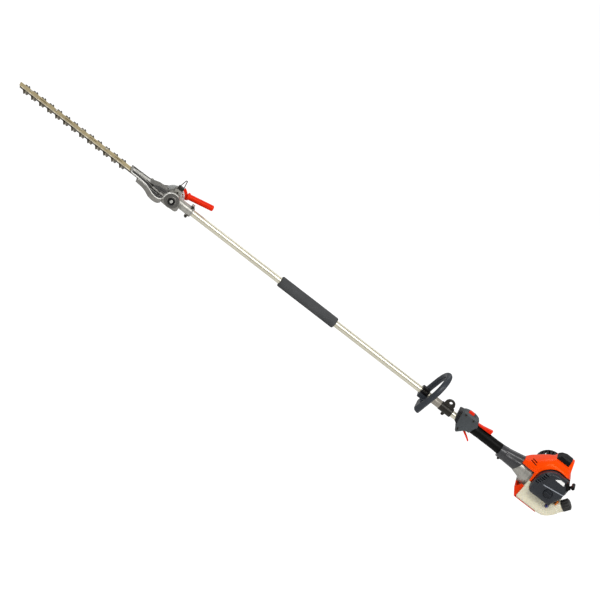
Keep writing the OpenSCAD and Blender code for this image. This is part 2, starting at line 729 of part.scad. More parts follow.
// ---- throttle housing and rear grip ----

// Side view of the throttle housing, measured from its front
throttle_side = [[5, 26], [3.5, 33], [7, 36], [18, 38], [22, 42], [28, 46], [38, 51],
    [59, 51], [70, 47], [78, 43], [86, 34], [92, 23], [81, -10], [78, -13], [70, -13],
    [62, -18], [52, -29], [46, -36], [42, -38], [37, -35], [30, -24], [22, -12], [13, -7]];
throttle_half_w = 19;
trigger_pivot = [56, -19];
switch_x = 34;
lockout_pivot = [78, 30];
module throttle_shape(y0, y1)
    place(throttle_front) across(y0, y1) polygon(throttle_side);

// The pins that the trigger and the lockout turn on, moulded on the far half
module control_pins(d, near) place(throttle_front) for (p = [trigger_pivot, lockout_pivot])
    translate([p[0], near, p[1]]) rod_y(d, 8 - near);

// Rooms for the trigger, the lockout and the switch inside the housing
module throttle_rooms() place(throttle_front) {
    translate([-1, 0, 0]) rod_x(tube_d + 2 * fit, throttle_l + 2);
    across(-4.6, 4.6) polygon([[44, -14], [44, -26], [56, -45], [throttle_l, -45],
        [throttle_l, -14]]);
    across(-6.6, 6.6) polygon([[70, 20], [70, 40], [88, 40], [88, 20]]);
    across(-6.6, 6.6) polygon([[80, 20], [80, 60], [throttle_l + 2, 60],
        [throttle_l + 2, 20]]);
    block([switch_x - 1, -12, 45.4], [switch_x + 29, -1, 60]);
    for (p = housing_screw_spots) translate([p[0], -30, p[1]])
        rod_y(4 + 2 * fit, 30 - throttle_half_w + housing_screw_l + 1);
    // The top edges are bevelled on both sides
    for (s = [-1, 1]) along(-1, throttle_l + 10) polygon([[s * 6.5, 52], [s * 30, 52],
        [s * 30, 28], [s * (throttle_half_w - 2), 41]]);
}
housing_screw_spots = [[15, 26], [32, 37], [65, 35], [40, -22]];
housing_screw_l = 30;

module throttle_housing_near() color("#4b5052")
    difference() {
        union() {
            throttle_shape(-throttle_half_w + 3, 0);
            place(throttle_front) translate([0, -throttle_half_w + 3, 0]) rotate([90, 0, 0])
                linear_extrude(3) offset(delta = -3) polygon(throttle_side);
        }
        throttle_rooms();
        control_pins(4 + 2 * fit, -13);
    }

module throttle_housing_far() color("#4b5052") {
    control_pins(4, -13 + gap);
    difference() {
        union() {
            throttle_shape(0, throttle_half_w - 3);
            place(throttle_front) translate([0, throttle_half_w, 0]) rotate([90, 0, 0])
                linear_extrude(3) offset(delta = -3) polygon(throttle_side);
        }
        throttle_rooms();
    }
}

trigger_w = 8;
module throttle_trigger() color("#e83420")
    place(throttle_front + trigger_pivot[0], 0, trigger_pivot[1]) {
        difference() {
            union() {
                translate([0, -trigger_w / 2, 0]) rod_y(9, trigger_w);
                across(-trigger_w / 2, trigger_w / 2) polygon([[-3, -3.4], [2, 3.6],
                    [14, -2], [26, -10], [38, -18], [44, -23], [42, -26], [34, -21],
                    [22, -14], [10, -7]]);
            }
            translate([0, -10, 0]) rod_y(4 + 2 * fit, 20);
        }
    }

module throttle_lockout() color("#e83420")
    place(throttle_front + lockout_pivot[0], 0, lockout_pivot[1]) {
        difference() {
            union() {
                translate([0, -6, 0]) rod_y(8, 12);
                across(-6, 6) polygon([[-2, 3.4], [0, -3.8], [14, -3.4], [66, -2.2],
                    [66, 11], [62, 11.6], [30, 4.5], [12, 2.5]]);
            }
            translate([0, -10, 0]) rod_y(4 + 2 * fit, 20);
        }
    }

module stop_switch() color("#e83420")
    place(throttle_front + switch_x) difference() {
        across(-11.4, -1.6) polygon([[0, 45.7], [0, 51.5], [3, 54.5], [18, 54.5],
            [21, 51.5], [21, 45.7]]);
        for (i = [0:3]) block([5 + 3 * i, -12, 53.5], [6.2 + 3 * i, -1, 56]);
    }

grip_ahead = 14;
module rear_grip() color("#141612")
    difference() {
        place(grip_front, 0, grip_rise) turned_x([[0, -grip_ahead], [grip_d / 2, -grip_ahead],
            [grip_d / 2, 12], [grip_d / 2 - 0.8, 18],
            [grip_d / 2 - 0.8, grip_l - 20], [grip_d / 2, grip_l - 12],
            [grip_d / 2, grip_l], [0, grip_l]]);
        place(grip_front - grip_ahead - 1) rod_x(tube_d + 2 * fit, grip_l + grip_ahead + 2);
        // The front end follows the slanting back of the throttle housing
        place(throttle_front) across(-40, 40) polygon([[50, -40], [71 + gap, -40],
            [107 + gap, 68], [50, 68]]);
        // Pocket that the lockout sinks into, and the end of its hinge
        place(grip_front) block([-grip_ahead - 1, -6.6, tube_d / 2 + 3.5], [58, 6.6, 60]);
    }

// ---- socket between grip and engine ----

// The socket and the clutch housing meet on a slanting face
module seam_keep_front(y = 60)
    place() across(-y, y) polygon([[socket_front - 5, -60], [socket_back - 15, -60],
        [socket_back - 15, -30], [socket_back + 5, 20], [socket_back - 1, 60],
        [socket_front - 5, 60]]);

module shaft_socket() color("#464648")
    difference() {
        intersection() {
            hull() {
                place(socket_front, 0, 2) rod_x(46, 2, $fn = 40);
                place(socket_front + 24, 0, 2) rod_x(49, 2, $fn = 40);
                place(socket_back + 2, 0, 2) rod_x(53, 2, $fn = 40);
                place(socket_back + 2, -15, 30) cube([2, 30, 10]);
            }
            seam_keep_front();
        }
        place(socket_front - 1) rod_x(tube_d + 2 * fit, tube_in_socket + 1);
        // Room for the front of the clutch housing
        place(bell_front - 10) rod_x(36, 60);
        place(socket_front - 1) rod_x(shaft_d + 4, socket_l);
        place(socket_screw_x, -30, socket_ear_z) rod_y(5 + 2 * fit, 38);
        place(socket_screw_x, -30, socket_ear_z) rod_y(10, 21);
    }

bell_wall = 3.5;
module clutch_housing() color("#a5a39b")
    difference() {
        union() {
            difference() {
                place() turned_x([[0, bell_front], [17, bell_front], [17, socket_back - 12 + 1],
                    [24.5, socket_back - 12 + 1], [33, -80], [43, -62], [bell_r, -56],
                    [bell_r, bell_back], [0, bell_back]]);
                seam_keep_front();
            }
            place(bell_front) rod_x(34, 30);
            // Lug for the tank guard
            place() block([-74, -12, -44], [-62, 12, -30]);
        }
        // Clutch and flywheel chamber
        place() turned_x([[0, drum_front - 2], [drum_d / 2 + 2, drum_front - 2],
            [drum_d / 2 + 2, drum_back + 1], [flywheel_d / 2 + 1.5, drum_back + 4],
            [flywheel_d / 2 + 1.5, bell_back + 1], [0, bell_back + 1]]);
        place(bell_front - 1) rod_x(drum_hub_d + 1, 30);
        place(drum_bearing_x - 3) rod_x(bearing_d + 6 + 2 * fit, bearing_l + 3);
    }

module clutch_drum() color("#8f8f8b")
    place() difference() {
        turned_x([[shaft_d / 2 + fit, drum_front - drum_hub_l + 3],
            [drum_hub_d / 2, drum_front - drum_hub_l + 3], [drum_hub_d / 2, drum_front],
            [drum_d / 2, drum_front], [drum_d / 2, drum_back], [drum_d / 2 - 2, drum_back],
            [drum_d / 2 - 2, drum_front + 2.5], [0, drum_front + 2.5],
            [0, drum_front - 1], [shaft_d / 2 + fit, drum_front - 1]]);
    }

shoe_d = drum_d - 4 - 1.6;
module clutch_shoes() color("#77726a")
    place(drum_front + 4) rotate([0, 90, 0]) linear_extrude(14) difference() {
        circle(d = shoe_d);
        circle(d = crank_d + 2 * fit);
        translate([-1.5, -shoe_d]) square([3, 2 * shoe_d]);
        for (s = [-1, 1]) translate([s * shoe_d * 0.32, 0]) circle(d = 5);
    }

module flywheel() color("#9c9c98")
    place(-58) rotate([0, 90, 0]) difference() {
        union() {
            cylinder(d = flywheel_d, h = 5);
            cylinder(d = 26, h = 20);
            for (a = [0:30:330]) rotate([0, 0, a])
                translate([14, -1, 4]) cube([flywheel_d / 2 - 15, 2, 14]);
        }
        translate([0, 0, -1]) cylinder(d = crank_d + 2 * fit, h = 30);
    }

module crankshaft() color("silver")
    place(drum_front + 4.5) rod_x(crank_d, crankcase_back + 12 - drum_front - 4.5);

// ---- engine block ----

module crankcase() color("#9a9a96")
    difference() {
        union() {
            place(bell_back) rod_x(2 * case_r, crankcase_back - bell_back);
            intersection() {
                place() block([bell_back + 4, -24, -60], [crankcase_back - 4, 24, -20]);
                place(bell_back) rod_x(2 * tank_trough_r - 0.1, crankcase_back - bell_back);
            }
            place(cyl_x) block([-28, -28, 0], [28, 28, cyl_base]);
        }
        place(bell_back - 1) rod_x(crank_d + 2 * fit, crankcase_back - bell_back + 2);
    }

module cylinder_fins() for (i = [0:fin_n - 1])
    place(cyl_x) translate([-fin_w / 2, -fin_w / 2, cyl_base + 8 + i * fin_pitch])
        cube([fin_w, fin_w, 2.2]);

module engine_cylinder() color("#b0b0ac")
    difference() {
        union() {
            place(cyl_x) block([-27, -27, cyl_base], [27, 27, cyl_base + 5]);
            place(cyl_x, 0, cyl_base) barrel(barrel_r, cyl_top - cyl_base);
            cylinder_fins();
            place(cyl_x) block([-15, -fin_w / 2, 48], [15, muffler_y, 70]);
        }
        place(cyl_x, 0, cyl_top - 12) barrel(7 + fit, 20);
    }
module barrel(r, h) rotate_extrude() square([r, h]);

module spark_plug() color("#e6e2d8")
    place(cyl_x, 0, cyl_top) {
        translate([0, 0, -10]) barrel(7, 10);
        linear_extrude(6) circle(r = 10.5, $fn = 6);
        barrel(5, 20);
        translate([0, 0, 16]) barrel(7.5, 13);
    }

// Rows of the hood, front to back: x, near y, far y, top z, corner radius
hood_foot = 28;
hood_edge_rise = 10;
hood_rows = [[-99, -33, 26, 44, 10], [-84, -42, 32, 56, 17], [-68, -51, 37, 72, 25],
    [-50, hood_near + 4, hood_far, 91, 32], [-32, hood_near, hood_far, 106, 36],
    [-18, hood_near, hood_far, 115, 38], [34, hood_near, hood_far, 115, 38],
    [46, hood_near, hood_far, 111, 38], [56, hood_near, hood_far, 97, 34],
    [71, hood_near, hood_far, 74, 24]];

// One row as an outline in Y and Z, rounded more on the far side
function hood_outline(q, inset, foot) = let (n = q[1] + inset, f = q[2] - inset,
    t = q[3] - inset, c = q[4] - inset, d = 1.25 * c) concat([[n, foot]],
    [for (i = [0:4]) let (a = 180 - 22.5 * i) [n + c + c * cos(a), t - 1.1 * c + 1.1 * c * sin(a)]],
    [for (i = [0:4]) let (a = 90 - 22.5 * i) [f - d + d * cos(a), t - 1.1 * d + 1.1 * d * sin(a)]],
    [[f, foot]]);

// Room or shell of the hood: each pair of rows joined by its hull
module hood_form(inset, foot) for (i = [0:len(hood_rows) - 2]) hull() {
    x0 = hood_rows[i][0] + (i == 0 ? inset : 0);
    x1 = hood_rows[i + 1][0] - (i == len(hood_rows) - 2 ? inset : 0);
    place() along(x0, x0 + 0.2) polygon(hood_outline(hood_rows[i], inset, foot));
    place() along(x1 - 0.2, x1) polygon(hood_outline(hood_rows[i + 1], inset, foot));
}

// The arch over the air filter, as an outline in X and Z
arch_c = [21, 35];
arch_r = 60;
arch_foot = -13.7;
function arch_points(inset) = let (r = arch_r - inset) concat(
    arc([arch_c[0] - arch_r + 18, arch_foot + 18], 18 - inset, 270, 180, 6),
    arc(arch_c, r, 180, 72, 10),
    [[58 - inset, 94 - inset], [72 - inset, 73 - 0.6 * inset], [75 - inset, 60],
     [75 - inset, 29], [61 - inset, 3], [58 - inset, arch_foot + inset]]);

module engine_hood() color("#ff500a")
    difference() {
        union() {
            hood_form(0, hood_foot);
            // Tongue that reaches down to the tank in front of the filter
            place() across(hood_near, hood_near + cover_wall) polygon([
                [arch_c[0] - arch_r - 12, hood_foot + 20], [arch_c[0] - arch_r - 9, 5],
                [arch_c[0] - arch_r - 1, 5], [arch_c[0] - arch_r - 1, hood_foot + 20]]);
            // Plinth of the plug cover, and the fin behind it
            hull() {
                place() block([-20, -25, plug_top - 2], [32, 21, plug_top]);
                place() block([-24, -36, 98], [34, 32, 99]);
            }
            hull() {
                place() block([31, -13, 134], [40, 12, 137.5]);
                place() block([31, -34, 96], [55, 30, 98]);
            }
        }
        difference() {
            hood_form(cover_wall, hood_foot - 10);
            place() block([-30, -90, 112.4], [60, 90, plug_top + 30]);
        }
        place() block([44, -60, 0], [90, 60, 66]);
        // The near lower edge rises as the side widens
        place() across(-100, -10) polygon([[hood_rows[0][0] - 5, hood_foot - 5],
            [hood_rows[0][0] - 5, hood_foot], [hood_rows[0][0], hood_foot],
            [hood_rows[3][0] - 1, hood_foot + hood_edge_rise],
            [hood_rows[3][0] - 1, hood_foot - 5]]);
        // Opening for the filter, with a clearance all round
        place() across(hood_near - 1, hood_near + 8) polygon(arch_points(-gap));
        // Opening for the muffler
        place() across(fin_w / 2 - 4, hood_far + 1)
            polygon(round_box(-40, 0, 40, 78, 8));
        // The spark plug passes the roof
        place(cyl_x, 0, 80) barrel(13, 60);
        // Cooling slots
        for (i = [0, 1]) place() across(hood_near - 5, -30)
            polygon([[-76, 44 + 7 * i], [-60, 44 + 7 * i], [-58, 48 + 7 * i],
                [-74, 48 + 7 * i]]);
        // Notch for the rope guide
        place() block([60, guide_spot[1] - 11, 60], [90, guide_spot[1] + 11, 78]);
        place(socket_back - 20) rod_x(2 * bell_r + 1, 140);
    }

module plug_cover() color("#1e1e22")
    difference() {
        hull() {
            place() block([-19.5, -24, plug_top], [30.5, 20, plug_top + 3]);
            place() block([-11, -19, 129], [30.5, 16, 131]);
            place() block([4, -13, 137], [30.5, 12, 139]);
        }
        place() block([-6, -14, plug_top - 1], [28, 12, 128]);
        place() block([3, -10, plug_top - 1], [27, 9, 135]);
    }

module muffler() color("#77746e")
    place() difference() {
        union() {
            across(muffler_y, 84) polygon(round_box(-34, 31, 34, 70, 8));
            translate([-22, 58, 50]) rotate([0, -90, 0]) barrel(8, 18);
        }
        translate([-34, 58, 50]) rotate([0, -90, 0]) barrel(6, 20);
    }

guard_c = [-6, 34];
guard_r = 53;
guard_side = concat([[-58, 24], [-58, 44]], arc(guard_c, guard_r, 160, 70, 8),
    [[34, 80], [46, 64], [46, 24]]);
module muffler_guard() color("#2a2a2c")
    difference() {
        union() {
            place() across(hood_far + 0.3, 92) polygon(guard_side);
            place() across(92, 97) offset(delta = -5) polygon(guard_side);
        }
        place() across(hood_far, 89.5) offset(delta = -cover_wall) polygon(guard_side);
        // Ribs with slots between them, round the crown and on the outer face
        for (a = [150:-14:66]) place(guard_c[0], 0, guard_c[1]) rotate([0, -a, 0])
            block([40, 50, -2.4], [60, 86, 2.4]);
        for (i = [0:5]) place(-38 + 14 * i, 0, 0) block([0, 85, 36], [6, 100, 66]);
        place() block([-60, hood_far, 10], [60, 89.5, 28]);
    }

// ---- fuel and air ----

module carburettor() color("#b5b2a8")
    place(cyl_x) difference() {
        union() {
            block([-16, filter_y + filter_base_t, 46], [16, -fin_w / 2, 76]);
            translate([0, filter_y + filter_base_t, 61]) rotate([-90, 0, 0]) barrel(12, 4);
        }
        translate([0, filter_y - 6, 61]) rotate([-90, 0, 0]) barrel(8, 30);
    }

module filter_base() color("#3a3d42")
    place() difference() {
        across(filter_y, filter_y + filter_base_t) polygon(arch_points(0));
        translate([cyl_x, filter_y - 6, 61]) rotate([-90, 0, 0]) barrel(9, 20);
        translate([knob_spot[0], filter_y - 6, knob_spot[1]])
            rotate([-90, 0, 0]) barrel(3 + fit, 20);
        translate([choke_spot[0] - 10, choke_y, choke_spot[1]])
            rotate([0, 90, 0]) barrel(choke_r + fit, 20);
    }

module air_filter() color("#7d8a6b")
    place() across(cover_near + 10, filter_y) polygon(round_box(-10, 42, 46, 76, 8));

knob_spot = [26, 20];
// Room inside the filter cover
module cover_room() hull() {
    place() across(cover_near + 9, filter_y + 0.1) polygon(arch_points(5));
    place() across(cover_near + 5, filter_y + 0.1) polygon(arch_points(14));
}

// The pocket in the cover's upper corner, widened on all sides by more
function pocket_outline(more) = [[13 - 1.6 * more, 76 - more], [29 - more, 88.5 + more],
    [49 + more, 88 + more], [53 + more, 74 - more]];

module air_filter_cover() color("#3c424a") {
    // Tray of the pocket
    place() difference() {
        across(cover_near + 3.4, cover_near + 9) polygon(pocket_outline(2));
        across(cover_near, cover_near + 7) polygon(pocket_outline(0));
    }
    difference() {
        hull() {
            place() across(filter_y - 16, filter_y) polygon(arch_points(0));
            place() across(cover_near + 4, filter_y) polygon(arch_points(4));
            place() across(cover_near, filter_y) polygon(arch_points(11));
        }
        cover_room();
        // The face is set back above a crease, and behind the slots
        place() across(cover_near - 1, cover_near + 2.2) polygon([[-14, 36.2],
            [arch_c[0] + arch_r, 50], [arch_c[0] + arch_r, 100], [-3, 100], [-9, 62]]);
        // Opening of the pocket in the upper corner
        place() across(cover_near - 1, cover_near + 20) polygon(pocket_outline(0));
        for (i = [0:2]) place() across(cover_near - 5, filter_y - 6)
            polygon([[-26, 52 + 8 * i], [-12, 53 + 8 * i], [-12, 57 + 8 * i], [-25, 56 + 8 * i]]);
        place(knob_spot[0], -110, knob_spot[1]) rotate([-90, 0, 0]) barrel(3.4, 60);
        // Dished seat of the knob
        place(knob_spot[0], cover_near - 1, knob_spot[1]) rotate([-90, 0, 0]) barrel(17, 3);
    }
}

module filter_knob() color("#2c3036")
    place(knob_spot[0], cover_near + 1.5, knob_spot[1]) rotate([90, 0, 0]) {
        difference() {
            barrel(15, 7);
            // Flats on both sides of the raised bar
            for (s = [-1, 1]) translate([-20, s > 0 ? 5 : -25, 3]) cube([40, 20, 10]);
        }
        translate([0, 0, -filter_depth - 4]) barrel(3, filter_depth + 5);
    }

// Side view of the tank: flat floor, upright front, rising tail
tank_side = [[-47, tank_bottom + 6], [-45.5, tank_bottom + 2], [-42, tank_bottom],
    [46, tank_bottom], [58, tank_bottom + 2.5], [70, tank_bottom + 8],
    [82, tank_bottom + 17], [93, tank_bottom + 30], [101, -33], [104, -24],
    [84, -14], [-30, -14], [-38, 4], [-47, 4]];
cap_lean = 32;
cap_spot = [105, -31, -7];
module fuel_tank() color("#ded6be")
    difference() {
        union() {
            place() across(-tank_w / 2, tank_w / 2) polygon(tank_side);
            // Filler neck
            hull() {
                place(cap_spot[0], cap_spot[1], cap_spot[2]) rotate([0, cap_lean, 0])
                    translate([0, 0, -3]) cylinder_solid(cap_d / 2 - 1, 2.6);
                place() block([70, -56, -40], [88, -6, -16]);
                place() block([84, -52, -50], [90, -10, -44]);
            }
        }
        place(-60) rod_x(2 * tank_trough_r, 145);
        // Chamfers along the lower and upper edges
        for (s = [0, 1]) mirror([0, s, 0]) place() {
            along(-60, 130) polygon([[tank_w / 2 + 1, tank_bottom - 1],
                [tank_w / 2 + 1, tank_bottom + tank_edge],
                [tank_w / 2 - tank_edge, tank_bottom - 1]]);
            along(-30, 130) polygon([[tank_w / 2 + 1, -13], [tank_w / 2 + 1, -18],
                [tank_w / 2 - 4, -13]]);
        }
        // Room for the filter base, and the seat of the primer bulb
        place() across(filter_y - 1, filter_y + filter_base_t + gap) polygon(arch_points(-gap));
        place(primer_spot[0], -tank_w / 2 - 1, primer_spot[1]) rotate([-90, 0, 0])
            barrel(primer_r + gap, 5);
        place(cap_spot[0], cap_spot[1], cap_spot[2]) rotate([0, cap_lean, 0])
            translate([0, 0, -20]) cylinder_solid(15, 30);
    }
module cylinder_solid(r, h) linear_extrude(h) circle(r = r);

module fuel_cap() color("#3c3c3a")
    place(cap_spot[0], cap_spot[1], cap_spot[2]) rotate([0, cap_lean, 0]) {
        difference() {
            linear_extrude(25) circle(r = cap_d / 2);
            for (a = [0:45:315]) rotate([0, 0, a]) translate([cap_d / 2 + 2, 0, 6])
                cylinder_solid(5, 30);
        }
        translate([0, 0, 24.5]) linear_extrude(3) circle(r = cap_d / 2 - 5);
        translate([0, 0, -12]) cylinder_solid(15 - fit, 12.5);
    }

module tank_guard() color("#f0480c")
    place() {
        block([-48, -58, -axis_h], [42, 58, tank_bottom]);
        // Slanted front plate with side webs, up to the clutch housing's lug
        across(-12, 12) polygon([[-51, -axis_h], [-48, -axis_h], [-48, -60], [-62, -44.2],
            [-72, -44.2], [-72, -48]]);
        across(-58, 58) polygon([[-51, -axis_h], [-47.4, -axis_h], [-47.4, -70],
            [-68, -45], [-72, -48]]);
        for (s = [-1, 1]) across(s * 56.5 - 1.5, s * 56.5 + 1.5) polygon([
            [-51, -axis_h], [-47.4, -axis_h], [-47.4, -24], [-58, -24], [-72, -48]]);
    }

primer_spot = [56, -29];
module primer_bulb() color("#141478")
    place(primer_spot[0], -tank_w / 2 - 0.4, primer_spot[1]) rotate([90, 0, 0])
        turned_z([[0, 0], [primer_r, 0], [primer_r, 3], [5.5, 6], [3, 8], [0, 8.6]]);
module turned_z(points) rotate_extrude() polygon(points);

choke_spot = [75, 45];
choke_y = filter_y + filter_base_t / 2;
module choke_lever() color("#1c1c1e")
    place(choke_spot[0], choke_y, choke_spot[1]) rotate([0, 90, 0]) {
        barrel(5, 4);
        translate([0, 0, -8]) barrel(choke_r, 9);
        translate([-20, -3, 0]) cube([20, 6, 4]);
    }

// ---- starter at the back ----

guide_spot = [70, -42, 54];
starter_screw_y = 34;
starter_screw_zs = [-20, 48];
module rope_way() place(guide_spot[0], guide_spot[1], guide_spot[2])
    rotate([0, 35, 0]) children();
module starter_housing() color("#2e3034")
    difference() {
        union() {
            place() along(crankcase_back, starter_back - 6) starter_outline(0);
            place() along(starter_back - 6, starter_back) starter_outline(4);
            // Rope guide
            rope_way() barrel(9, 16);
        }
        place(crankcase_back - 1) rod_x(30, 14);
        // Cooling slots round the pulley
        for (a = [0:30:330]) place(starter_back - 3) rotate([a, 0, 0])
            block([0, -2, 20], [10, 2, 36]);
        rope_way() translate([0, 0, -24]) barrel(2.2, 60);
        for (s = [-1, 1], z = starter_screw_zs) place(starter_back - 5, s * starter_screw_y, z)
            rod_x(4 + 2 * fit, 10);
    }
module starter_outline(inset) {
    circle(r = 44 - inset);
    translate([-46 + inset, 10]) square([92 - 2 * inset, 54 - inset]);
}

handle_off = 22;
module starter_handle() color("#18181a")
    rope_way() {
        translate([0, -17, handle_off + starter_bar_d / 2]) rotate([-90, 0, 0])
            barrel(starter_bar_d / 2, 34);
        translate([0, 0, 16.3]) barrel(5, handle_off - 12);
        translate([0, 0, -20]) barrel(1.8, 40);
    }

// Screws that hold the mouldings: throttle housing, hood and starter
module cover_screws() color("#2b2b2b") {
    for (p = housing_screw_spots) place(throttle_front + p[0], -throttle_half_w, p[1])
        rotate([90, 0, 0]) cap_screw(4, housing_screw_l);
    for (s = [-1, 1], z = starter_screw_zs) place(starter_back, s * starter_screw_y, z)
        rotate([0, 90, 0]) cap_screw(4, 4);
}

outer_tube();
shaft_bushes();
drive_shaft();
shaft_bearings();
bevel_pinion();
pivot_gear();
gear_neck();
lock_bracket();
lock_pin();
lock_bail();
sector_plate();
adjust_handle();
gear_case_top();
gear_case_base();
case_screws();
pivot_bolt();
crank_gear();
crank_bearings();
guide_bar();
upper_blade();
lower_blade();
blade_bolts();
foam_grip();
loop_handle();
loop_clamp();
clamp_screws();
spacer_sleeve();
hanger_clamp();
throttle_housing_near();
throttle_housing_far();
throttle_trigger();
throttle_lockout();
stop_switch();
rear_grip();
shaft_socket();
clutch_housing();
clutch_drum();
clutch_shoes();
flywheel();
crankshaft();
crankcase();
engine_cylinder();
spark_plug();
plug_cover();
engine_hood();
muffler();
muffler_guard();
carburettor();
filter_base();
air_filter();
air_filter_cover();
filter_knob();
fuel_tank();
fuel_cap();
tank_guard();
primer_bulb();
choke_lever();
starter_housing();
starter_handle();
cover_screws();
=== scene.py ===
# Petrol long-reach hedge trimmer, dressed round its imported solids.
# X runs from the cutter (negative) to the engine (positive), Y is across, Z is up, in metres.
import json
import math

import bmesh
import bpy
import numpy as np
from mathutils import Matrix, Vector

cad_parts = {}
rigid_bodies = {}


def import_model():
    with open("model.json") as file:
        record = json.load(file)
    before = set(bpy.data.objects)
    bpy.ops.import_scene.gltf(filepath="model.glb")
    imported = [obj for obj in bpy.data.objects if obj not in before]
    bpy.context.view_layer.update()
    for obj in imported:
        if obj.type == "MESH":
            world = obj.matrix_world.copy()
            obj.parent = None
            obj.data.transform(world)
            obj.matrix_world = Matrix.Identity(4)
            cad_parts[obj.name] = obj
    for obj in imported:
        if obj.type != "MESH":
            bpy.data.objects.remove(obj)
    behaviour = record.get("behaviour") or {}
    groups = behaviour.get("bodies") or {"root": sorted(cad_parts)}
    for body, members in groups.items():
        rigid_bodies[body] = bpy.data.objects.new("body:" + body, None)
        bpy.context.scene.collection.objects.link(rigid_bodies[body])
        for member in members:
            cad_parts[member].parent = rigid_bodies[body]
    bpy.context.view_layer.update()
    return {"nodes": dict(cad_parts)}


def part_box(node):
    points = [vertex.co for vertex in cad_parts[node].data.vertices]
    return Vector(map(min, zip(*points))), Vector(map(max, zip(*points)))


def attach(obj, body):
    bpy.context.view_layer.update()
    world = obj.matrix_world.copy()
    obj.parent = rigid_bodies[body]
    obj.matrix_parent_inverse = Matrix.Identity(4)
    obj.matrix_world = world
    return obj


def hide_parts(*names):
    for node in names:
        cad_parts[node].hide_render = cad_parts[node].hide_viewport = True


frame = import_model()
nodes = frame["nodes"]

# ---- Camera ----
# The trimmer is seen from its near side, a little from above and from the cutter's end,
# and lies across the frame from upper left to lower right.
view_azimuth, view_elevation, view_roll = (math.radians(a) for a in (-9.0, 22.0, 41.1))
view_distance = 30.0
view_width = 2.058
aim = Vector((-1.0255, 0.1352, 0.0107))

back = Vector((math.sin(view_azimuth) * math.cos(view_elevation),
               -math.cos(view_azimuth) * math.cos(view_elevation), math.sin(view_elevation)))
level = Vector((math.cos(view_azimuth), math.sin(view_azimuth), 0))
steep = back.cross(level)
right = level * math.cos(view_roll) + steep * math.sin(view_roll)
upward = back.cross(right)
lens = bpy.data.cameras.new("camera")
lens.sensor_width = 36
lens.lens = 18 * view_distance / (view_width / 2)
lens.clip_end = 100
camera = bpy.data.objects.new("camera", lens)
camera.matrix_world = Matrix((right, upward, back)).transposed().to_4x4()
camera.location = aim + back * view_distance
bpy.context.scene.collection.objects.link(camera)
bpy.context.scene.camera = camera
bpy.context.scene.view_settings.view_transform = "Standard"


# ---- Studio ----
# A white floor and a white surround, lit by three large soft lamps along the shaft.
# The floor lies low enough for the cutter to hang straight down from the held tool.
def put(tree, kind, sockets=None, family="ShaderNode", **settings):
    """Adds a node, sets its settings, and sets or links its sockets."""
    made = tree.nodes.new(family + kind)
    for name, value in settings.items():
        setattr(made, name, value)
    for name, value in (sockets or {}).items():
        if isinstance(value, bpy.types.NodeSocket):
            tree.links.new(value, made.inputs[name])
        else:
            made.inputs[name].default_value = value
    return made


sky_shine, sky_fill, paper_glow, paper_shade = 0.46, 0.42, 0.88, 0.30
surround = bpy.data.worlds.new("surround")
bpy.context.scene.world = surround
surround.use_nodes = True
sky = surround.node_tree
sky.nodes.clear()
ray = put(sky, "LightPath")
seen = put(sky, "Math", {0: ray.outputs["Is Camera Ray"], 1: ray.outputs["Is Transmission Ray"]},
           operation="MAXIMUM")
shine = put(sky, "Math", {0: ray.outputs["Is Glossy Ray"], 1: sky_shine}, operation="MULTIPLY")
shown = put(sky, "Math", {0: seen.outputs[0], 1: shine.outputs[0]}, operation="MAXIMUM")
level_light = put(sky, "Math", {0: shown.outputs[0], 1: sky_fill}, operation="MAXIMUM")
glow = put(sky, "Background", {"Color": (1, 1, 1, 1), "Strength": level_light.outputs[0]})
put(sky, "OutputWorld", {"Surface": glow.outputs[0]})

floor_size, floor_drop = 40.0, 0.62
sheet = bpy.data.meshes.new("floor")
sheet.from_pydata([(x * floor_size, y * floor_size, -floor_drop) for x, y in
                   ((-1, -1), (1, -1), (1, 1), (-1, 1))], [], [(0, 1, 2, 3)])
floor = bpy.data.objects.new("floor", sheet)
bpy.context.scene.collection.objects.link(floor)
paper = bpy.data.materials.new("floor_paper")
paper.use_nodes = True
tree = paper.node_tree
tree.nodes.clear()
ray = put(tree, "LightPath")
lit = put(tree, "BsdfDiffuse", {"Color": (0.8, 0.8, 0.8, 1)})
bright = put(tree, "Emission", {"Color": (1, 1, 1, 1), "Strength": paper_glow})
soft = put(tree, "BsdfDiffuse", {"Color": (paper_shade, paper_shade, paper_shade, 1)})
both = put(tree, "AddShader", {0: bright.outputs[0], 1: soft.outputs[0]})
pick = put(tree, "MixShader", {0: ray.outputs["Is Camera Ray"], 1: lit.outputs[0],
                               2: both.outputs[0]})
put(tree, "OutputMaterial", {"Surface": pick.outputs[0]})
sheet.materials.append(paper)

for name, spot, size, power in (("key", (-0.9, -2.2, 2.6), (3.4, 0.9), 84),
                                ("fill", (-1.6, 2.0, 2.2), (3.4, 1.2), 24),
                                ("end", (1.9, -0.9, 1.7), (1.2, 1.2), 16)):
    lamp = bpy.data.lights.new(name, "AREA")
    lamp.shape = "RECTANGLE"
    lamp.size, lamp.size_y = size
    lamp.energy = power
    holder = bpy.data.objects.new(name, lamp)
    holder.location = spot
    holder.rotation_mode = "QUATERNION"
    middle = Vector((-0.9 if name != "end" else 0.0, 0, 0.08))
    holder.rotation_quaternion = (middle - Vector(spot)).to_track_quat("-Z", "Y")
    bpy.context.scene.collection.objects.link(holder)


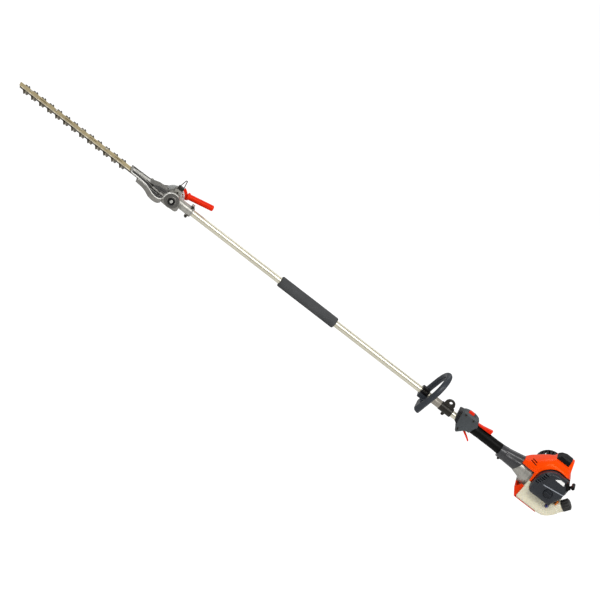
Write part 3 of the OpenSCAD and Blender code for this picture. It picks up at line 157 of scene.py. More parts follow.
# ---- Shaft tube ----
# A drawn aluminium tube, clear anodised, with faint drawing lines along its length.
# Its skin varies in colour, gloss and grain. That effect and one for edges rubbed by handling,
# which the tube itself doesn't use, serve the other pieces too.
def effect(name, inputs, outputs):
    """A shader group with named inputs and outputs; returns its tree and its end nodes."""
    tree = bpy.data.node_groups.new(name, "ShaderNodeTree")
    for title, kind, value in inputs:
        socket = tree.interface.new_socket(title, in_out="INPUT", socket_type="NodeSocket" + kind)
        socket.default_value = value
    for title, kind in outputs:
        tree.interface.new_socket(title, in_out="OUTPUT", socket_type="NodeSocket" + kind)
    return tree, tree.nodes.new("NodeGroupInput").outputs, tree.nodes.new("NodeGroupOutput").inputs


skin, given, gives = effect("surface_skin", (
    ("Colour", "Color", (0.5, 0.5, 0.5, 1)), ("Second Colour", "Color", (0.4, 0.4, 0.4, 1)),
    ("Patch Scale", "Float", 12.0), ("Patch Amount", "Float", 0.5),
    ("Grain Scale", "Float", 900.0), ("Stretch", "Vector", (1, 1, 1)),
    ("Roughness", "Float", 0.4), ("Roughness Spread", "Float", 0.1)),
    (("Colour", "Color"), ("Roughness", "Float"), ("Height", "Float")))
spot = put(skin, "TexCoord").outputs["Object"]
drawn = put(skin, "VectorMath", {0: spot, 1: given["Stretch"]}, operation="MULTIPLY")
grain = put(skin, "TexNoise", {"Vector": drawn.outputs[0], "Scale": given["Grain Scale"],
                               "Detail": 2.0, "Roughness": 0.6})
patch = put(skin, "TexNoise", {"Vector": spot, "Scale": given["Patch Scale"], "Detail": 4.0,
                               "Roughness": 0.62})
spread = put(skin, "MapRange", {"Value": patch.outputs["Fac"], "From Min": 0.35, "From Max": 0.68,
                                "To Min": 0.0, "To Max": given["Patch Amount"]})
speck = put(skin, "MapRange", {"Value": grain.outputs["Fac"], "From Min": 0.3, "From Max": 0.7,
                               "To Min": 0.0, "To Max": 0.35})
share = put(skin, "Math", {0: spread.outputs[0], 1: speck.outputs[0]}, operation="ADD")
share.use_clamp = True
tone = put(skin, "Mix", {0: share.outputs[0], 6: given["Colour"], 7: given["Second Colour"]},
           data_type="RGBA")
swing = put(skin, "Math", {0: patch.outputs["Fac"], 1: 0.5}, operation="SUBTRACT")
gloss = put(skin, "Math", {0: swing.outputs[0], 1: given["Roughness Spread"],
                           2: given["Roughness"]}, operation="MULTIPLY_ADD")
gloss.use_clamp = True
skin.links.new(tone.outputs[2], gives["Colour"])
skin.links.new(gloss.outputs[0], gives["Roughness"])
skin.links.new(grain.outputs["Fac"], gives["Height"])

rubbed, given, gives = effect("rubbed_edges", (
    ("Radius", "Float", 0.001), ("Amount", "Float", 0.5)), (("Mask", "Float"),))
eased = put(rubbed, "Bevel", {"Radius": given["Radius"]}, samples=4)
facing = put(rubbed, "NewGeometry").outputs["Normal"]
turned = put(rubbed, "VectorMath", {0: eased.outputs[0], 1: facing}, operation="DOT_PRODUCT")
patchy = put(rubbed, "TexNoise", {"Vector": put(rubbed, "TexCoord").outputs["Object"],
                                  "Scale": 160.0, "Detail": 3.0})
worn = put(rubbed, "MapRange", {"Value": turned.outputs["Value"], "From Min": 0.995,
                                "From Max": 0.86, "To Min": 0.0, "To Max": 1.0})
broken = put(rubbed, "MapRange", {"Value": patchy.outputs["Fac"], "From Min": 0.38,
                                  "From Max": 0.62, "To Min": 0.25, "To Max": 1.0})
mask = put(rubbed, "Math", {0: worn.outputs[0], 1: broken.outputs[0]}, operation="MULTIPLY")
scaled = put(rubbed, "Math", {0: mask.outputs[0], 1: given["Amount"]}, operation="MULTIPLY")
scaled.use_clamp = True
rubbed.links.new(scaled.outputs[0], gives["Mask"])


def paint(red, green, blue):
    """A colour in screen values from 0 to 255, as the shader needs it."""
    return [(c / 12.92 if c < 0.04045 else ((c + 0.055) / 1.055) ** 2.4)
            for c in (red / 255, green / 255, blue / 255)] + [1]


def surface(name, colour, second, rough, spread=0.12, patches=14.0, amount=0.6, grain=1400.0,
            stretch=(1, 1, 1), bump=0.15, depth=0.0001, wear=0.0, bare=None, corner=0.0012,
            shader=None, zones=()):
    """A finish built from the shared effects; shader holds constants of the shader itself.
    Each zone is a mask kept on the mesh and the colour that it brings."""
    made = bpy.data.materials.new(name)
    made.use_nodes = True
    tree = made.node_tree
    tree.nodes.clear()
    base = put(tree, "Group", {
        "Colour": colour, "Second Colour": second, "Patch Scale": patches,
        "Patch Amount": amount, "Grain Scale": grain, "Stretch": stretch, "Roughness": rough,
        "Roughness Spread": spread}, node_tree=skin)
    tint = base.outputs["Colour"]
    for mask, colour_there in zones:
        zone = put(tree, "Attribute", attribute_name=mask)
        tint = put(tree, "Mix", {0: zone.outputs["Fac"], 6: tint, 7: colour_there},
                   data_type="RGBA").outputs[2]
    if wear:
        rub = put(tree, "Group", {"Radius": corner, "Amount": wear}, node_tree=rubbed)
        tint = put(tree, "Mix", {0: rub.outputs["Mask"], 6: tint, 7: bare or second},
                   data_type="RGBA").outputs[2]
    relief = put(tree, "Bump", {"Height": base.outputs["Height"], "Distance": depth,
                                "Strength": bump})
    body = put(tree, "BsdfPrincipled", {"Base Color": tint, "Roughness": base.outputs["Roughness"],
                                        "Normal": relief.outputs[0], **(shader or {})})
    put(tree, "OutputMaterial", {"Surface": body.outputs[0]})
    return made


def break_edges(piece, width, angle=32):
    """Rounds over the edges that turn by more than angle, width millimetres wide."""
    round_over = piece.modifiers.new("edges", "BEVEL")
    round_over.width = width / 1000
    round_over.segments = 2
    round_over.limit_method = "ANGLE"
    round_over.angle_limit = math.radians(angle)
    round_over.harden_normals = True


def dress(name, material, edge=0.0):
    """Gives a solid its finish, and breaks its sharp edges by edge millimetres."""
    part = nodes[name]
    part.material_slots[0].material = material
    if edge:
        part.modifiers.new("join", "WELD").merge_threshold = 1e-6
        flat = part.modifiers.new("facets", "DECIMATE")
        flat.decimate_type = "DISSOLVE"
        flat.angle_limit = math.radians(0.4)
        break_edges(part, edge)


tube_metal = surface("drawn_tube", paint(228, 223, 203), paint(204, 199, 180), 0.3, 0.14,
                     patches=3.0, grain=260.0, stretch=(0.05, 6, 6), bump=0.25,
                     shader={"Metallic": 0.75})
dress("outer_tube", tube_metal)

# ---- Drive line in the tube ----
# A ground steel shaft turns in plain nylon bushes pressed into the tube and in ball
# bearings at its ends. It drives hardened steel gears, which run in oil.
bush_nylon = surface("bush_nylon", paint(58, 58, 58), paint(40, 40, 40), 0.55)
shaft_metal = surface("ground_shaft", paint(200, 200, 198), paint(160, 160, 158), 0.28,
                      grain=700.0, stretch=(6, 0.4, 0.4), shader={"Metallic": 1.0})
zinc = surface("bright_zinc", paint(214, 214, 208), paint(176, 176, 168), 0.36, 0.2,
               patches=60.0, wear=0.35, bare=paint(235, 235, 230), shader={"Metallic": 0.9})
gear_metal = surface("oiled_gear_steel", paint(150, 148, 142), paint(98, 94, 86), 0.32, 0.2,
                     patches=90.0, shader={"Metallic": 1.0})
dress("shaft_bushes", bush_nylon)
for name in ("drive_shaft", "crankshaft"):
    dress(name, shaft_metal)
for name in ("shaft_bearings", "crank_bearings"):
    dress(name, zinc)
for name in ("bevel_pinion", "pivot_gear", "crank_gear", "clutch_drum", "clutch_shoes"):
    dress(name, gear_metal, 0.2)

# ---- Neck and its lock ----
# A shot-blasted aluminium casting clamped on the tube's end, with the lock's bracket on
# top. The lock is a blackened steel pin, drawn out by its wire bail.
cast = surface("blasted_casting", paint(182, 180, 172), paint(128, 126, 119), 0.4, 0.2,
               patches=40.0, grain=1500.0, bump=0.5, depth=0.0002, wear=0.5,
               bare=paint(224, 222, 216), shader={"Metallic": 0.6})
black_steel = surface("blackened_steel", paint(44, 41, 34), paint(26, 24, 21), 0.36, 0.2,
                      patches=60.0, wear=0.45, bare=paint(116, 112, 104),
                      shader={"Metallic": 0.3, "Specular IOR Level": 0.35})


def settle(piece):
    """Turns a piece and its modifiers into one plain mesh."""
    seen = piece.evaluated_get(bpy.context.evaluated_depsgraph_get())
    made = bpy.data.meshes.new_from_object(seen)
    piece.modifiers.clear()
    piece.data = made
    return piece


def soften(piece, voxel, passes):
    """Runs a piece into one skin with rounded edges and filled corners, as a casting has."""
    run = piece.modifiers.new("skin", "REMESH")
    run.mode = "VOXEL"
    run.voxel_size = voxel / 1000
    run.use_smooth_shade = True
    ease = piece.modifiers.new("ease", "SMOOTH")
    ease.factor = 0.5
    ease.iterations = passes
    return settle(piece)


def stand_for(piece, material, *names):
    """The piece takes over solids: it takes their body and the given finish, and hides them."""
    piece.data.materials.clear()
    piece.data.materials.append(material)
    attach(piece, nodes[names[0]].parent.name.split(":")[1])
    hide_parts(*names)
    return piece


def add_piece(piece, body, material=None):
    """Gives a piece that stands for no solid its finish, if any, and its body."""
    if material:
        piece.data.materials.append(material)
    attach(piece, body)


def new_piece(title, shape):
    """Puts a mesh in the scene under its title."""
    piece = bpy.data.objects.new(title, shape)
    bpy.context.scene.collection.objects.link(piece)
    return piece


def copy_of(name, title):
    """A free copy of a solid, its triangles joined into one skin."""
    shape = nodes[name].data.copy()
    joined = bmesh.new()
    joined.from_mesh(shape)
    bmesh.ops.remove_doubles(joined, verts=joined.verts, dist=1e-6)
    joined.to_mesh(shape)
    joined.free()
    return new_piece(title, shape)


def cast_from(name, title, material, voxel, passes):
    """A cast or moulded piece made from its solid, with every edge and corner rounded."""
    return stand_for(soften(copy_of(name, title), voxel, passes), material, name)


cast_from("gear_neck", "neck_casting", cast, 0.8, 3)
dress("lock_bracket", cast, 0.5)
dress("lock_pin", black_steel, 0.5)
dress("lock_bail", black_steel)

# ---- Tilting head ----
# A bright-plated steel sector with index holes carries a red nylon handle on its face.
# Both turn with the gear case, on the zinc-plated tilt bolt.
red_nylon = surface("red_nylon", paint(234, 42, 8), paint(214, 30, 5), 0.34, 0.1,
                    bump=0.1, wear=0.2, bare=paint(246, 92, 62),
                    shader={"Specular IOR Level": 0.3, "Specular Tint": (1.0, 0.4, 0.25, 1)})
bright_plating = surface("bright_plating", paint(240, 242, 242), paint(218, 220, 218), 0.24,
                         shader={"Metallic": 0.35})
dress("sector_plate", bright_plating, 0.4)
cast_from("adjust_handle", "tilt_handle", red_nylon, 0.8, 3)
dress("pivot_bolt", zinc, 0.6)


def turned(title, profile, centre, axis, around=48):
    """A turned piece: profile points are (radius, way along the axis), all in millimetres."""
    spin = Vector(axis).to_track_quat("Z", "Y").to_matrix()
    points, faces = [], []
    for radius, way in profile:
        for k in range(around):
            a = 2 * math.pi * k / around
            local = spin @ Vector((radius * math.cos(a), radius * math.sin(a), way))
            points.append((local + Vector(centre)) / 1000)
    rows = len(profile)
    for i in range(rows - 1):
        for k in range(around):
            n = (k + 1) % around
            faces.append((i * around + k, i * around + n, (i + 1) * around + n,
                          (i + 1) * around + k))
    faces += [tuple(range(around))[::-1], tuple((rows - 1) * around + k for k in range(around))]
    shape = bpy.data.meshes.new(title)
    shape.from_pydata(points, [], faces)
    clean = bmesh.new()
    clean.from_mesh(shape)
    bmesh.ops.remove_doubles(clean, verts=clean.verts, dist=1e-7)
    bmesh.ops.recalc_face_normals(clean, faces=clean.faces)
    clean.to_mesh(shape)
    clean.free()
    shape.polygons.foreach_set("use_smooth", [True] * len(shape.polygons))
    return new_piece(title, shape)


# Heights are counted from the shaft's axis, in millimetres
axis_z = round(sum(corner.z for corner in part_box("outer_tube")) * 500)
# A black rubber seal sits round the head of the tilt bolt, which has a domed centre
seal_rubber = surface("seal_rubber", paint(20, 20, 20), paint(12, 12, 12), 0.5,
                      shader={"Specular IOR Level": 0.3})
bolt_face_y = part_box("pivot_bolt")[0].y * 1000
pivot = ((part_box("pivot_bolt")[0].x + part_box("pivot_bolt")[1].x) * 500, axis_z)
for title, material, slot_name, profile in (
        ("tilt_bolt_seal", seal_rubber, "black_steel",
         [(8.6, -0.6), (8.8, 0.9), (10.0, 1.9), (12.2, 1.9), (13.5, 0.8), (13.6, -3.2),
          (13.1, -3.2), (8.6, -0.6)]),
        ("tilt_bolt_dome", zinc, "zinc",
         [(0.01, 3.1), (2.6, 3.0), (4.6, 2.4), (6.0, 1.3), (6.4, 0.2), (6.4, -0.5),
          (0.01, -0.5)])):
    ring = turned(title, profile, (pivot[0], bolt_face_y, pivot[1]), (0, -1, 0))
    add_piece(ring, "head", material)

# ---- Gear case ----
# A painted grey magnesium casting in two halves, split at the height of the guide bar
# and screwed together. Its ears carry the tilt bolt.
# The sunk field is darkened with painted shade, and the rim is lightened with a painted highlight
case_paint = surface("case_paint", paint(148, 146, 140), paint(112, 110, 105), 0.36, 0.16,
                     patches=26.0, grain=1800.0, bump=0.35, wear=0.75,
                     bare=paint(214, 213, 206), corner=0.0018, shader={"Metallic": 0.35},
                     zones=(("field", paint(27, 26, 25)), ("rim", paint(228, 227, 221))))


def solid_of(title, *lofts):
    """One piece from closed lofts; each is a list of rings of points in millimetres."""
    work = bmesh.new()
    for rings in lofts:
        rows = [[work.verts.new((x / 1000, y / 1000, (z + axis_z) / 1000)) for x, y, z in ring]
                for ring in rings]
        for one, two in zip(rows, rows[1:]):
            for k in range(len(one)):
                n = (k + 1) % len(one)
                work.faces.new((one[k], one[n], two[n], two[k]))
        work.faces.new(rows[0][::-1])
        work.faces.new(rows[-1])
    bmesh.ops.recalc_face_normals(work, faces=work.faces)
    shape = bpy.data.meshes.new(title)
    work.to_mesh(shape)
    work.free()
    return new_piece(title, shape)


def across(outline, y0, y1):
    """Rings of an outline in X and Z, run across from y0 to y1."""
    return [[(x, y, z) for x, z in outline] for y in (y0, y1)]


def along(outline, x0, x1):
    """Rings of an outline in Y and Z, run along from x0 to x1."""
    return [[(x, y, z) for y, z in outline] for x in (x0, x1)]


def disc(radius, count=48, y=0.0, z=0.0):
    """A round outline."""
    return [(y + radius * math.cos(2 * math.pi * k / count),
             z + radius * math.sin(2 * math.pi * k / count)) for k in range(count)]


def combine(piece, operation, lofts):
    """Cuts closed lofts out of a piece, or joins them to it, one after another."""
    for rings in lofts:
        tool = solid_of("tool", rings)
        change = piece.modifiers.new("change", "BOOLEAN")
        change.operation, change.solver, change.object = operation, "EXACT", tool
        settle(piece)
        bpy.data.objects.remove(tool)


def carve(piece, *lofts):
    """Cuts closed lofts out of a piece."""
    combine(piece, "DIFFERENCE", lofts)


# The ears round off in front of the pivot, and the wings run back under them
case_top = copy_of("gear_case_top", "case_upper_casting")
pivot_x, cut_length, cut_top, ear_r = round(pivot[0]), 57, 46, 31
for low, inner, outer in ((-3.9, 24, 34), (2.8, 19.6, 24.1)):
    front_of_ear = [(pivot_x - cut_length, low), (pivot_x - cut_length, cut_top),
                    (pivot_x, cut_top)]
    front_of_ear += [(pivot_x + ear_r * math.cos(math.radians(a)),
                      ear_r * math.sin(math.radians(a))) for a in range(90, 181, 6)]
    front_of_ear += [(pivot_x - ear_r, low)]
    for side in (-1, 1):
        carve(case_top, across(front_of_ear, *sorted((side * inner, side * outer))))
soften(case_top, 0.85, 3)
stand_for(case_top, case_paint, "gear_case_top")
case_base = cast_from("gear_case_base", "case_lower_casting", case_paint, 0.85, 3)
# Half widths of the case and of its hump at places behind the nose, all in millimetres
nose_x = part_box("gear_case_top")[0].x * 1000
case_widths = ([0, 8, 50, 72, 88, 102, 116, 122, 132, 141, 148],
               [26.7, 31, 32.2, 36, 44.8, 54.3, 59, 59, 56, 47.2, 33])
hump_widths = ([0, 73, 95, 148], [4.5, 9, 22, 23])
# The sunken field, the rim that takes a painted highlight, and the hump and spine that it keeps
# clear of
field_ends, field_depth, field_edge, rim_w = (8, 143), 2.2, 1.6, 4.5
hump_gap, hump_ends, spine_ends = 2.2, (62, 150), (6, 82)
# The skin's height, how it falls towards the sides, and where the wings and the seam lie
hump_foot, top_z, fall, wings_from, seam_y = 24, -4, 0.26, 84, 36
# Distances of each ear and of its outer face from the middle, and the ring of its field
ear_span, ear_faces, ear_field_rings, ear_field_depth = (19, 33), (29.8, 37), (15, 27.2), 1.3
# The screw bosses, ahead of the pivot on the far side
boss_r, boss_field_r = 7.5, 6
far_bosses = [(pivot_x - ahead, y) for ahead, y in ((50, 38), (88, 36), (131, 24))]


def ramp(value, width):
    """A smooth rise from 0 to 1 over width."""
    t = np.clip(value / width, 0, 1)
    return t * t * (3 - 2 * t)


def read_points(piece, what="co"):
    """The places, or the normals, of a piece's points, as an array with one row each."""
    rows = np.empty(len(piece.data.vertices) * 3)
    piece.data.vertices.foreach_get(what, rows)
    return rows.reshape(-1, 3) * (1000 if what == "co" else 1)


def write_points(piece, at, **masks):
    """Puts the points back, given in millimetres, and keeps each mask on the mesh."""
    piece.data.vertices.foreach_set("co", (at / 1000).ravel())
    for title, mask in masks.items():
        layer = piece.data.attributes.new(title, "FLOAT", "POINT")
        layer.data.foreach_set("value", mask)
    piece.data.update()


# Both halves carry a sunken field on either side of the spine, darkened with painted shade, inside
# a rim lightened with a painted highlight
for casting in (case_top, case_base):
    at, up = read_points(casting), read_points(casting, "normal")
    x, y, z = at[:, 0] - nose_x, at[:, 1], at[:, 2] - axis_z
    side, facing_up = np.abs(y), up[:, 2] > -0.3
    skin_z = top_z - fall * np.maximum(0, side - hump_foot)
    edge_in = np.interp(x, *case_widths) - side
    hump_out = side - np.interp(x, *hump_widths)
    from_pivot = np.hypot(at[:, 0] - pivot_x, z)
    at_ear = (side > ear_span[0]) & (from_pivot < ear_r + 1.2)
    to_boss = np.min([np.hypot(at[:, 0] - bx, y - by) for bx, by in far_bosses], axis=0)
    bossed = to_boss < boss_r
    upper_skin = (z > skin_z - 3.6) & (z < skin_z + 5) & (x < field_ends[1] + 4)
    upper_skin &= (hump_out > 0.6) & ~(at_ear & (side < ear_span[1]))
    inside = np.minimum.reduce([edge_in - rim_w, hump_out - hump_gap, x - field_ends[0],
                                field_ends[1] - x, to_boss - boss_field_r])
    field = ramp(inside, field_edge) * upper_skin
    # The painted highlight runs along the case's edge where it faces up and round the ears, and
    # lights the spine's upward faces as well
    rim = ramp(edge_in + 0.6, 0.8) * ramp(rim_w - edge_in, 1.2) * upper_skin
    rim *= ramp(up[:, 2] - 0.2, 0.4) * (x > 4)
    spine = ramp(0.4 - hump_out, 0.8) * ramp(spine_ends[1] - x, 8) * ramp(x - spine_ends[0], 3)
    rim = np.maximum(rim, 0.8 * spine * ramp(up[:, 2] - 0.5, 0.3))
    ear_rim_highlight = ramp(from_pivot - ear_r + 4, 1.0) * (x > field_ends[1]) * (side > ear_span[0] + 1)
    ear_rim_highlight *= at[:, 0] < pivot_x + 9
    rim = np.maximum(rim, ear_rim_highlight * (z > skin_z + 1))
    # Past the seam line the lower half is the skin, and the upper half's thin edge ends
    sunk = skin_z - field_depth * field
    if casting is case_top:
        past = (side > seam_y) & (z < skin_z + 0.6) & (x > wings_from) & ~bossed
        z = np.where(past & (edge_in > 1.2), np.minimum(z, sunk - 1.5), z)
        level = upper_skin & facing_up & ~past & ~bossed & (edge_in > 1.2)
        z = np.where(level, np.where(field > 0, sunk, np.minimum(z, skin_z)), z)
    else:
        level = (side > seam_y - 1.5) & (x > wings_from) & (edge_in > 1.2)
        level &= facing_up & (z > -9.4)
        level |= upper_skin & facing_up & (side > 43)
        z = np.where(level & ~bossed, sunk + 0.15, z)
    # Painted shade darkens the hump, fully on its flanks by how they face and half on top, so that
    # the ribs stand out light
    hump = (x > hump_ends[0]) & (x < hump_ends[1]) & (hump_out < 3) & (side < 27)
    hump &= (z > skin_z + 0.6) & ~at_ear
    on_flank = 1 - ramp(up[:, 2] - 0.55, 0.35) * (np.abs(up[:, 1]) < 0.5)
    field = np.maximum(field, hump * (0.45 + 0.5 * on_flank) * ramp(x - hump_ends[0], 8))
    # The outer faces of the ears are sunk inside a rim as well, and darkened there with painted
    # shade
    ear_face = (side > ear_faces[0]) & (side < ear_faces[1]) & (x > 120)
    ear_face &= np.abs(up[:, 1]) > 0.7
    from_rings = np.minimum(from_pivot - ear_field_rings[0], ear_field_rings[1] - from_pivot)
    ear_field = ramp(from_rings, 1.4) * ear_face
    field = np.maximum(field, 0.55 * ear_field)
    at[:, 1] -= ear_field_depth * np.sign(y) * ear_field
    at[:, 2] = z + axis_z
    write_points(casting, at, field=field, rim=rim)


def copies_tree():
    """Geometry nodes that repeat the mesh, each copy moved and turned one step further."""
    tree = bpy.data.node_groups.new("copies_in_step", "GeometryNodeTree")
    face = tree.interface
    for name, kind in (("Geometry", "Geometry"), ("Count", "Int"), ("Step", "Vector"),
                       ("Turn", "Vector"), ("Place", "Vector"), ("Tilt", "Vector"),
                       ("Material", "Material")):
        face.new_socket(name, in_out="INPUT", socket_type="NodeSocket" + kind)
    face.new_socket("Geometry", in_out="OUTPUT", socket_type="NodeSocketGeometry")
    given = put(tree, "GroupInput", family="Node").outputs
    number = put(tree, "InputIndex", family="GeometryNode").outputs[0]
    moved, turned_by = (put(tree, "VectorMath", {0: given[name], "Scale": number},
                            operation="SCALE").outputs[0] for name in ("Step", "Turn"))
    points = put(tree, "Points", {"Count": given["Count"], "Position": moved},
                 family="GeometryNode")
    angle = put(tree, "EulerToRotation", {0: turned_by}, family="FunctionNode")
    copies = put(tree, "InstanceOnPoints", {"Points": points.outputs[0],
                                            "Instance": given["Geometry"],
                                            "Rotation": angle.outputs[0]},
                 family="GeometryNode")
    tilt = put(tree, "EulerToRotation", {0: given["Tilt"]}, family="FunctionNode")
    placed = put(tree, "Transform", {"Geometry": copies.outputs[0],
                                     "Translation": given["Place"],
                                     "Rotation": tilt.outputs[0]}, family="GeometryNode")
    real = put(tree, "RealizeInstances", {0: placed.outputs[0]}, family="GeometryNode")
    dressed = put(tree, "SetMaterial", {"Geometry": real.outputs[0],
                                        "Material": given["Material"]},
                  family="GeometryNode")
    put(tree, "GroupOutput", {0: dressed.outputs[0]}, family="Node")
    return tree


in_step = copies_tree()


def repeat(one, title, material, count, step=(0, 0, 0), turn=(0, 0, 0), place=(0, 0, 0),
           tilt=(0, 0, 0)):
    """A plain mesh of count copies of one piece; steps in millimetres, turns in degrees."""
    grow = one.modifiers.new("copies", "NODES")
    grow.node_group = in_step
    given = {"Count": count, "Step": [c / 1000 for c in step],
             "Turn": [math.radians(c) for c in turn], "Place": [c / 1000 for c in place],
             "Tilt": [math.radians(c) for c in tilt], "Material": material}
    for socket in in_step.interface.items_tree:
        if socket.name in given:
            grow[socket.identifier] = given[socket.name]
    settle(one)
    one.name = title
    return one


def rib_section(w, h):
    """A rib's section on its root: w to either side and h high, with eased corners."""
    return (-w, -1), (-w, h - 0.3), (-w + 0.4, h), (w - 0.4, h), (w, h - 0.3), (w, -1)


# Three low stiffening ribs, cast along the spine between the nose and the hump, painted lighter
# than the case as a painted highlight
rib = solid_of("rib", [[(x, y, z - axis_z) for y, z in rib_section(w, h)]
                       for x, w, h in ((0, 0.5, -0.4), (3, 0.8, 0.9), (54, 0.8, 0.9),
                                       (58, 0.5, -0.4))])
rib_paint = surface("rib_paint", paint(216, 215, 209), paint(186, 185, 179), 0.36, 0.16,
                    patches=26.0, shader={"Metallic": 0.35})
rib_pitch = 4.4
ribs = repeat(rib, "case_ribs", rib_paint, 3, step=(0, rib_pitch, 0),
              place=(nose_x + 13, -rib_pitch, axis_z - 2), tilt=(0, -2.1, 0))
add_piece(ribs, "head")
# Four more run over the hump; they follow its height, z, at places x behind the nose
hump_line = [(88, 0.5), (95, 5.1), (110, 11.1), (120, 12.4), (136, 14.3), (143, 14.6)]
hump_rib_pitch = 6.6
rib = solid_of("rib", [[(nose_x + x, y, z + lift) for y, lift in rib_section(w, h)]
                       for (x, z), w, h in zip(hump_line, (0.5, 0.9, 0.9, 0.9, 0.9, 0.5),
                                               (-0.4, 0.9, 0.9, 0.9, 0.9, -0.4))])
ribs = repeat(rib, "hump_ribs", case_paint, 4, step=(0, hump_rib_pitch, 0),
              place=(0, -1.5 * hump_rib_pitch, 0))
add_piece(ribs, "head")

# ---- Cutter blades ----
# A guide bar of oiled spring steel, with two laser-cut blades that slide under it on
# shouldered bolts. The flanks of the teeth are ground; the bright long edges of the bar are a
# painted highlight.
# The bar's worn bright edges are partly real wear and partly a painted highlight
bar_steel = surface("oiled_bar", paint(204, 186, 138), paint(150, 134, 94), 0.32, 0.2,
                    patches=22.0, grain=420.0, stretch=(0.15, 5, 5), bump=0.2, wear=0.5,
                    bare=paint(240, 230, 200), shader={"Metallic": 0.7})
# The blades' dark colour is partly dark steel and partly painted shade, for the shadow under the
# bar
blade_steel = surface("blade_steel", paint(98, 93, 81), paint(54, 50, 44), 0.32, 0.2,
                      patches=30.0, grain=500.0, stretch=(4, 0.3, 4), bump=0.2, wear=0.8,
                      bare=paint(214, 210, 200), shader={"Metallic": 0.8})
dress("guide_bar", bar_steel, 0.4)
# Both long edges of the bar carry a thin bright strip, a painted highlight
low, high = (corner * 1000 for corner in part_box("guide_bar"))
edge_bevel, edge_t, edge_proud = 0.3, 0.4, 0.06
bar_low, bar_high = low.z - axis_z + edge_bevel, high.z - axis_z - edge_bevel
edge_line = [(low.x + 7, bar_low), (high.x - 4, bar_low), (high.x - 4, bar_high),
             (low.x + 7, bar_high)]
bar_edges = solid_of("bar_edges", *(across(edge_line, y, y + edge_t) for y in
                                    (low.y - edge_proud, high.y - edge_t + edge_proud)))
ground_edge = surface("ground_edge", paint(250, 242, 220), paint(228, 216, 186), 0.34,
                      shader={"Metallic": 0.15})
add_piece(bar_edges, "head", ground_edge)
# The flanks of the teeth are ground back from the face that shears, so they shine
ground_steel = surface("ground_flank", paint(208, 205, 196), paint(160, 154, 142), 0.24, 0.2,
                       patches=70.0, grain=900.0, stretch=(0.3, 5, 1), bump=0.3,
                       shader={"Metallic": 0.95})
spine_half, flank_run, tooth_reach = 0.015, 0.0022, 0.0115


def flank_edges(shape, outer_z):
    """The long edges of the teeth on the outer face; two of them bound each tooth."""
    return [e for e in shape.edges if abs(e.verts[0].co.z - e.verts[1].co.z) < 1e-6
            and min(abs(v.co.y) for v in e.verts) < spine_half + 0.0004
            and max(abs(v.co.y) for v in e.verts) > spine_half + 0.01
            and abs(e.verts[0].co.z - outer_z) < 1e-5]


def grind_flanks(shape, outer_z):
    """Draws the outer face's flanks in towards the middle of each tooth, on both sides."""
    centres = {}
    for edge in flank_edges(shape, outer_z):
        side = 1 if edge.verts[0].co.y > 0 else -1
        centres.setdefault(side, []).append(sum(v.co.x for v in edge.verts) / 2)
    for side, flanks in centres.items():
        flanks.sort()
        middles = [(flanks[i] + flanks[i + 1]) / 2 for i in range(0, len(flanks) - 1, 2)]
        for v in shape.verts:
            if abs(v.co.z - outer_z) < 1e-5 and side * v.co.y > spine_half - 0.0003:
                near = min(middles, key=lambda m: abs(m - v.co.x))
                if abs(near - v.co.x) < tooth_reach:
                    v.co.x += flank_run if near > v.co.x else -flank_run


for name, outer_side in (("upper_blade", 1), ("lower_blade", -1)):
    low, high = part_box(name)
    blade = copy_of(name, name.replace("blade", "cutter"))
    shape = bmesh.new()
    shape.from_mesh(blade.data)
    bmesh.ops.dissolve_limit(shape, angle_limit=math.radians(0.5), verts=shape.verts,
                             edges=shape.edges)
    grind_flanks(shape, high.z if outer_side > 0 else low.z)
    shape.to_mesh(blade.data)
    shape.free()
    break_edges(blade, 0.25, 30)
    stand_for(settle(blade), blade_steel, name)
    blade.data.materials.append(ground_steel)
    for face in blade.data.polygons:
        if abs(face.normal.x) > 0.25 and abs(face.normal.z) > 0.15 and \
                abs(face.center.y) > spine_half:
            face.material_index = 1
dress("blade_bolts", zinc, 0.3)

# ---- Foam grip ----
# A tube of dark closed-cell foam, pushed over the shaft tube for a hand to hold. It has
# a shallow mould seam, and use has eased its surface.
foam = surface("closed_cell_foam", paint(78, 79, 80), paint(60, 61, 62), 0.9, 0.1,
               grain=1900.0, bump=0.8, depth=0.0003, shader={"Specular IOR Level": 0.2})
low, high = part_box("foam_grip")
foam_r, foam_end, foam_half = (high.z - low.z) * 500, high.x * 1000, (high.x - low.x) * 500
bore_r, end_round, end_bevel = 12.1, 4, 1.2
end = [(bore_r, -foam_half), (foam_r - end_round, -foam_half),
       (foam_r - end_bevel, -foam_half + end_bevel), (foam_r, -foam_half + end_round)]
straight = 2 * foam_half - 2 * end_round
profile = end + [(foam_r, -foam_half + end_round + straight * i / 60) for i in range(1, 60)]
profile += [(r, -way) for r, way in reversed(end)]
tube_of_foam = turned("foam_sleeve", profile, (foam_end - foam_half, 0, axis_z), (1, 0, 0), 96)
bore = bmesh.new()
bore.from_mesh(tube_of_foam.data)
bmesh.ops.delete(bore, geom=[f for f in bore.faces if len(f.verts) > 4], context="FACES")
open_ends = [e for e in bore.edges if e.is_boundary]
bmesh.ops.bridge_loops(bore, edges=open_ends)
bmesh.ops.recalc_face_normals(bore, faces=bore.faces)
# A shallow mould seam runs along the near upper side, and a hand has eased the surface
seam_turn, seam_w, seam_depth, ease_depth = math.radians(52), 0.035, 0.9, 0.12
for v in bore.verts:
    y, z = v.co.y, v.co.z - axis_z / 1000
    r = math.hypot(y, z)
    if r > bore_r / 1000 + 0.002:
        turn = math.atan2(z, -y)
        seam = math.exp(-((turn - seam_turn) / seam_w) ** 2)
        swell = math.sin(v.co.x * 61 + turn * 2) * math.sin(v.co.x * 23 - turn * 3)
        scale = 1 - (seam_depth * seam + ease_depth * (1 + swell)) / 1000 / r
        v.co.y, v.co.z = y * scale, axis_z / 1000 + z * scale
bore.to_mesh(tube_of_foam.data)
bore.free()
stand_for(tube_of_foam, foam, "foam_grip")

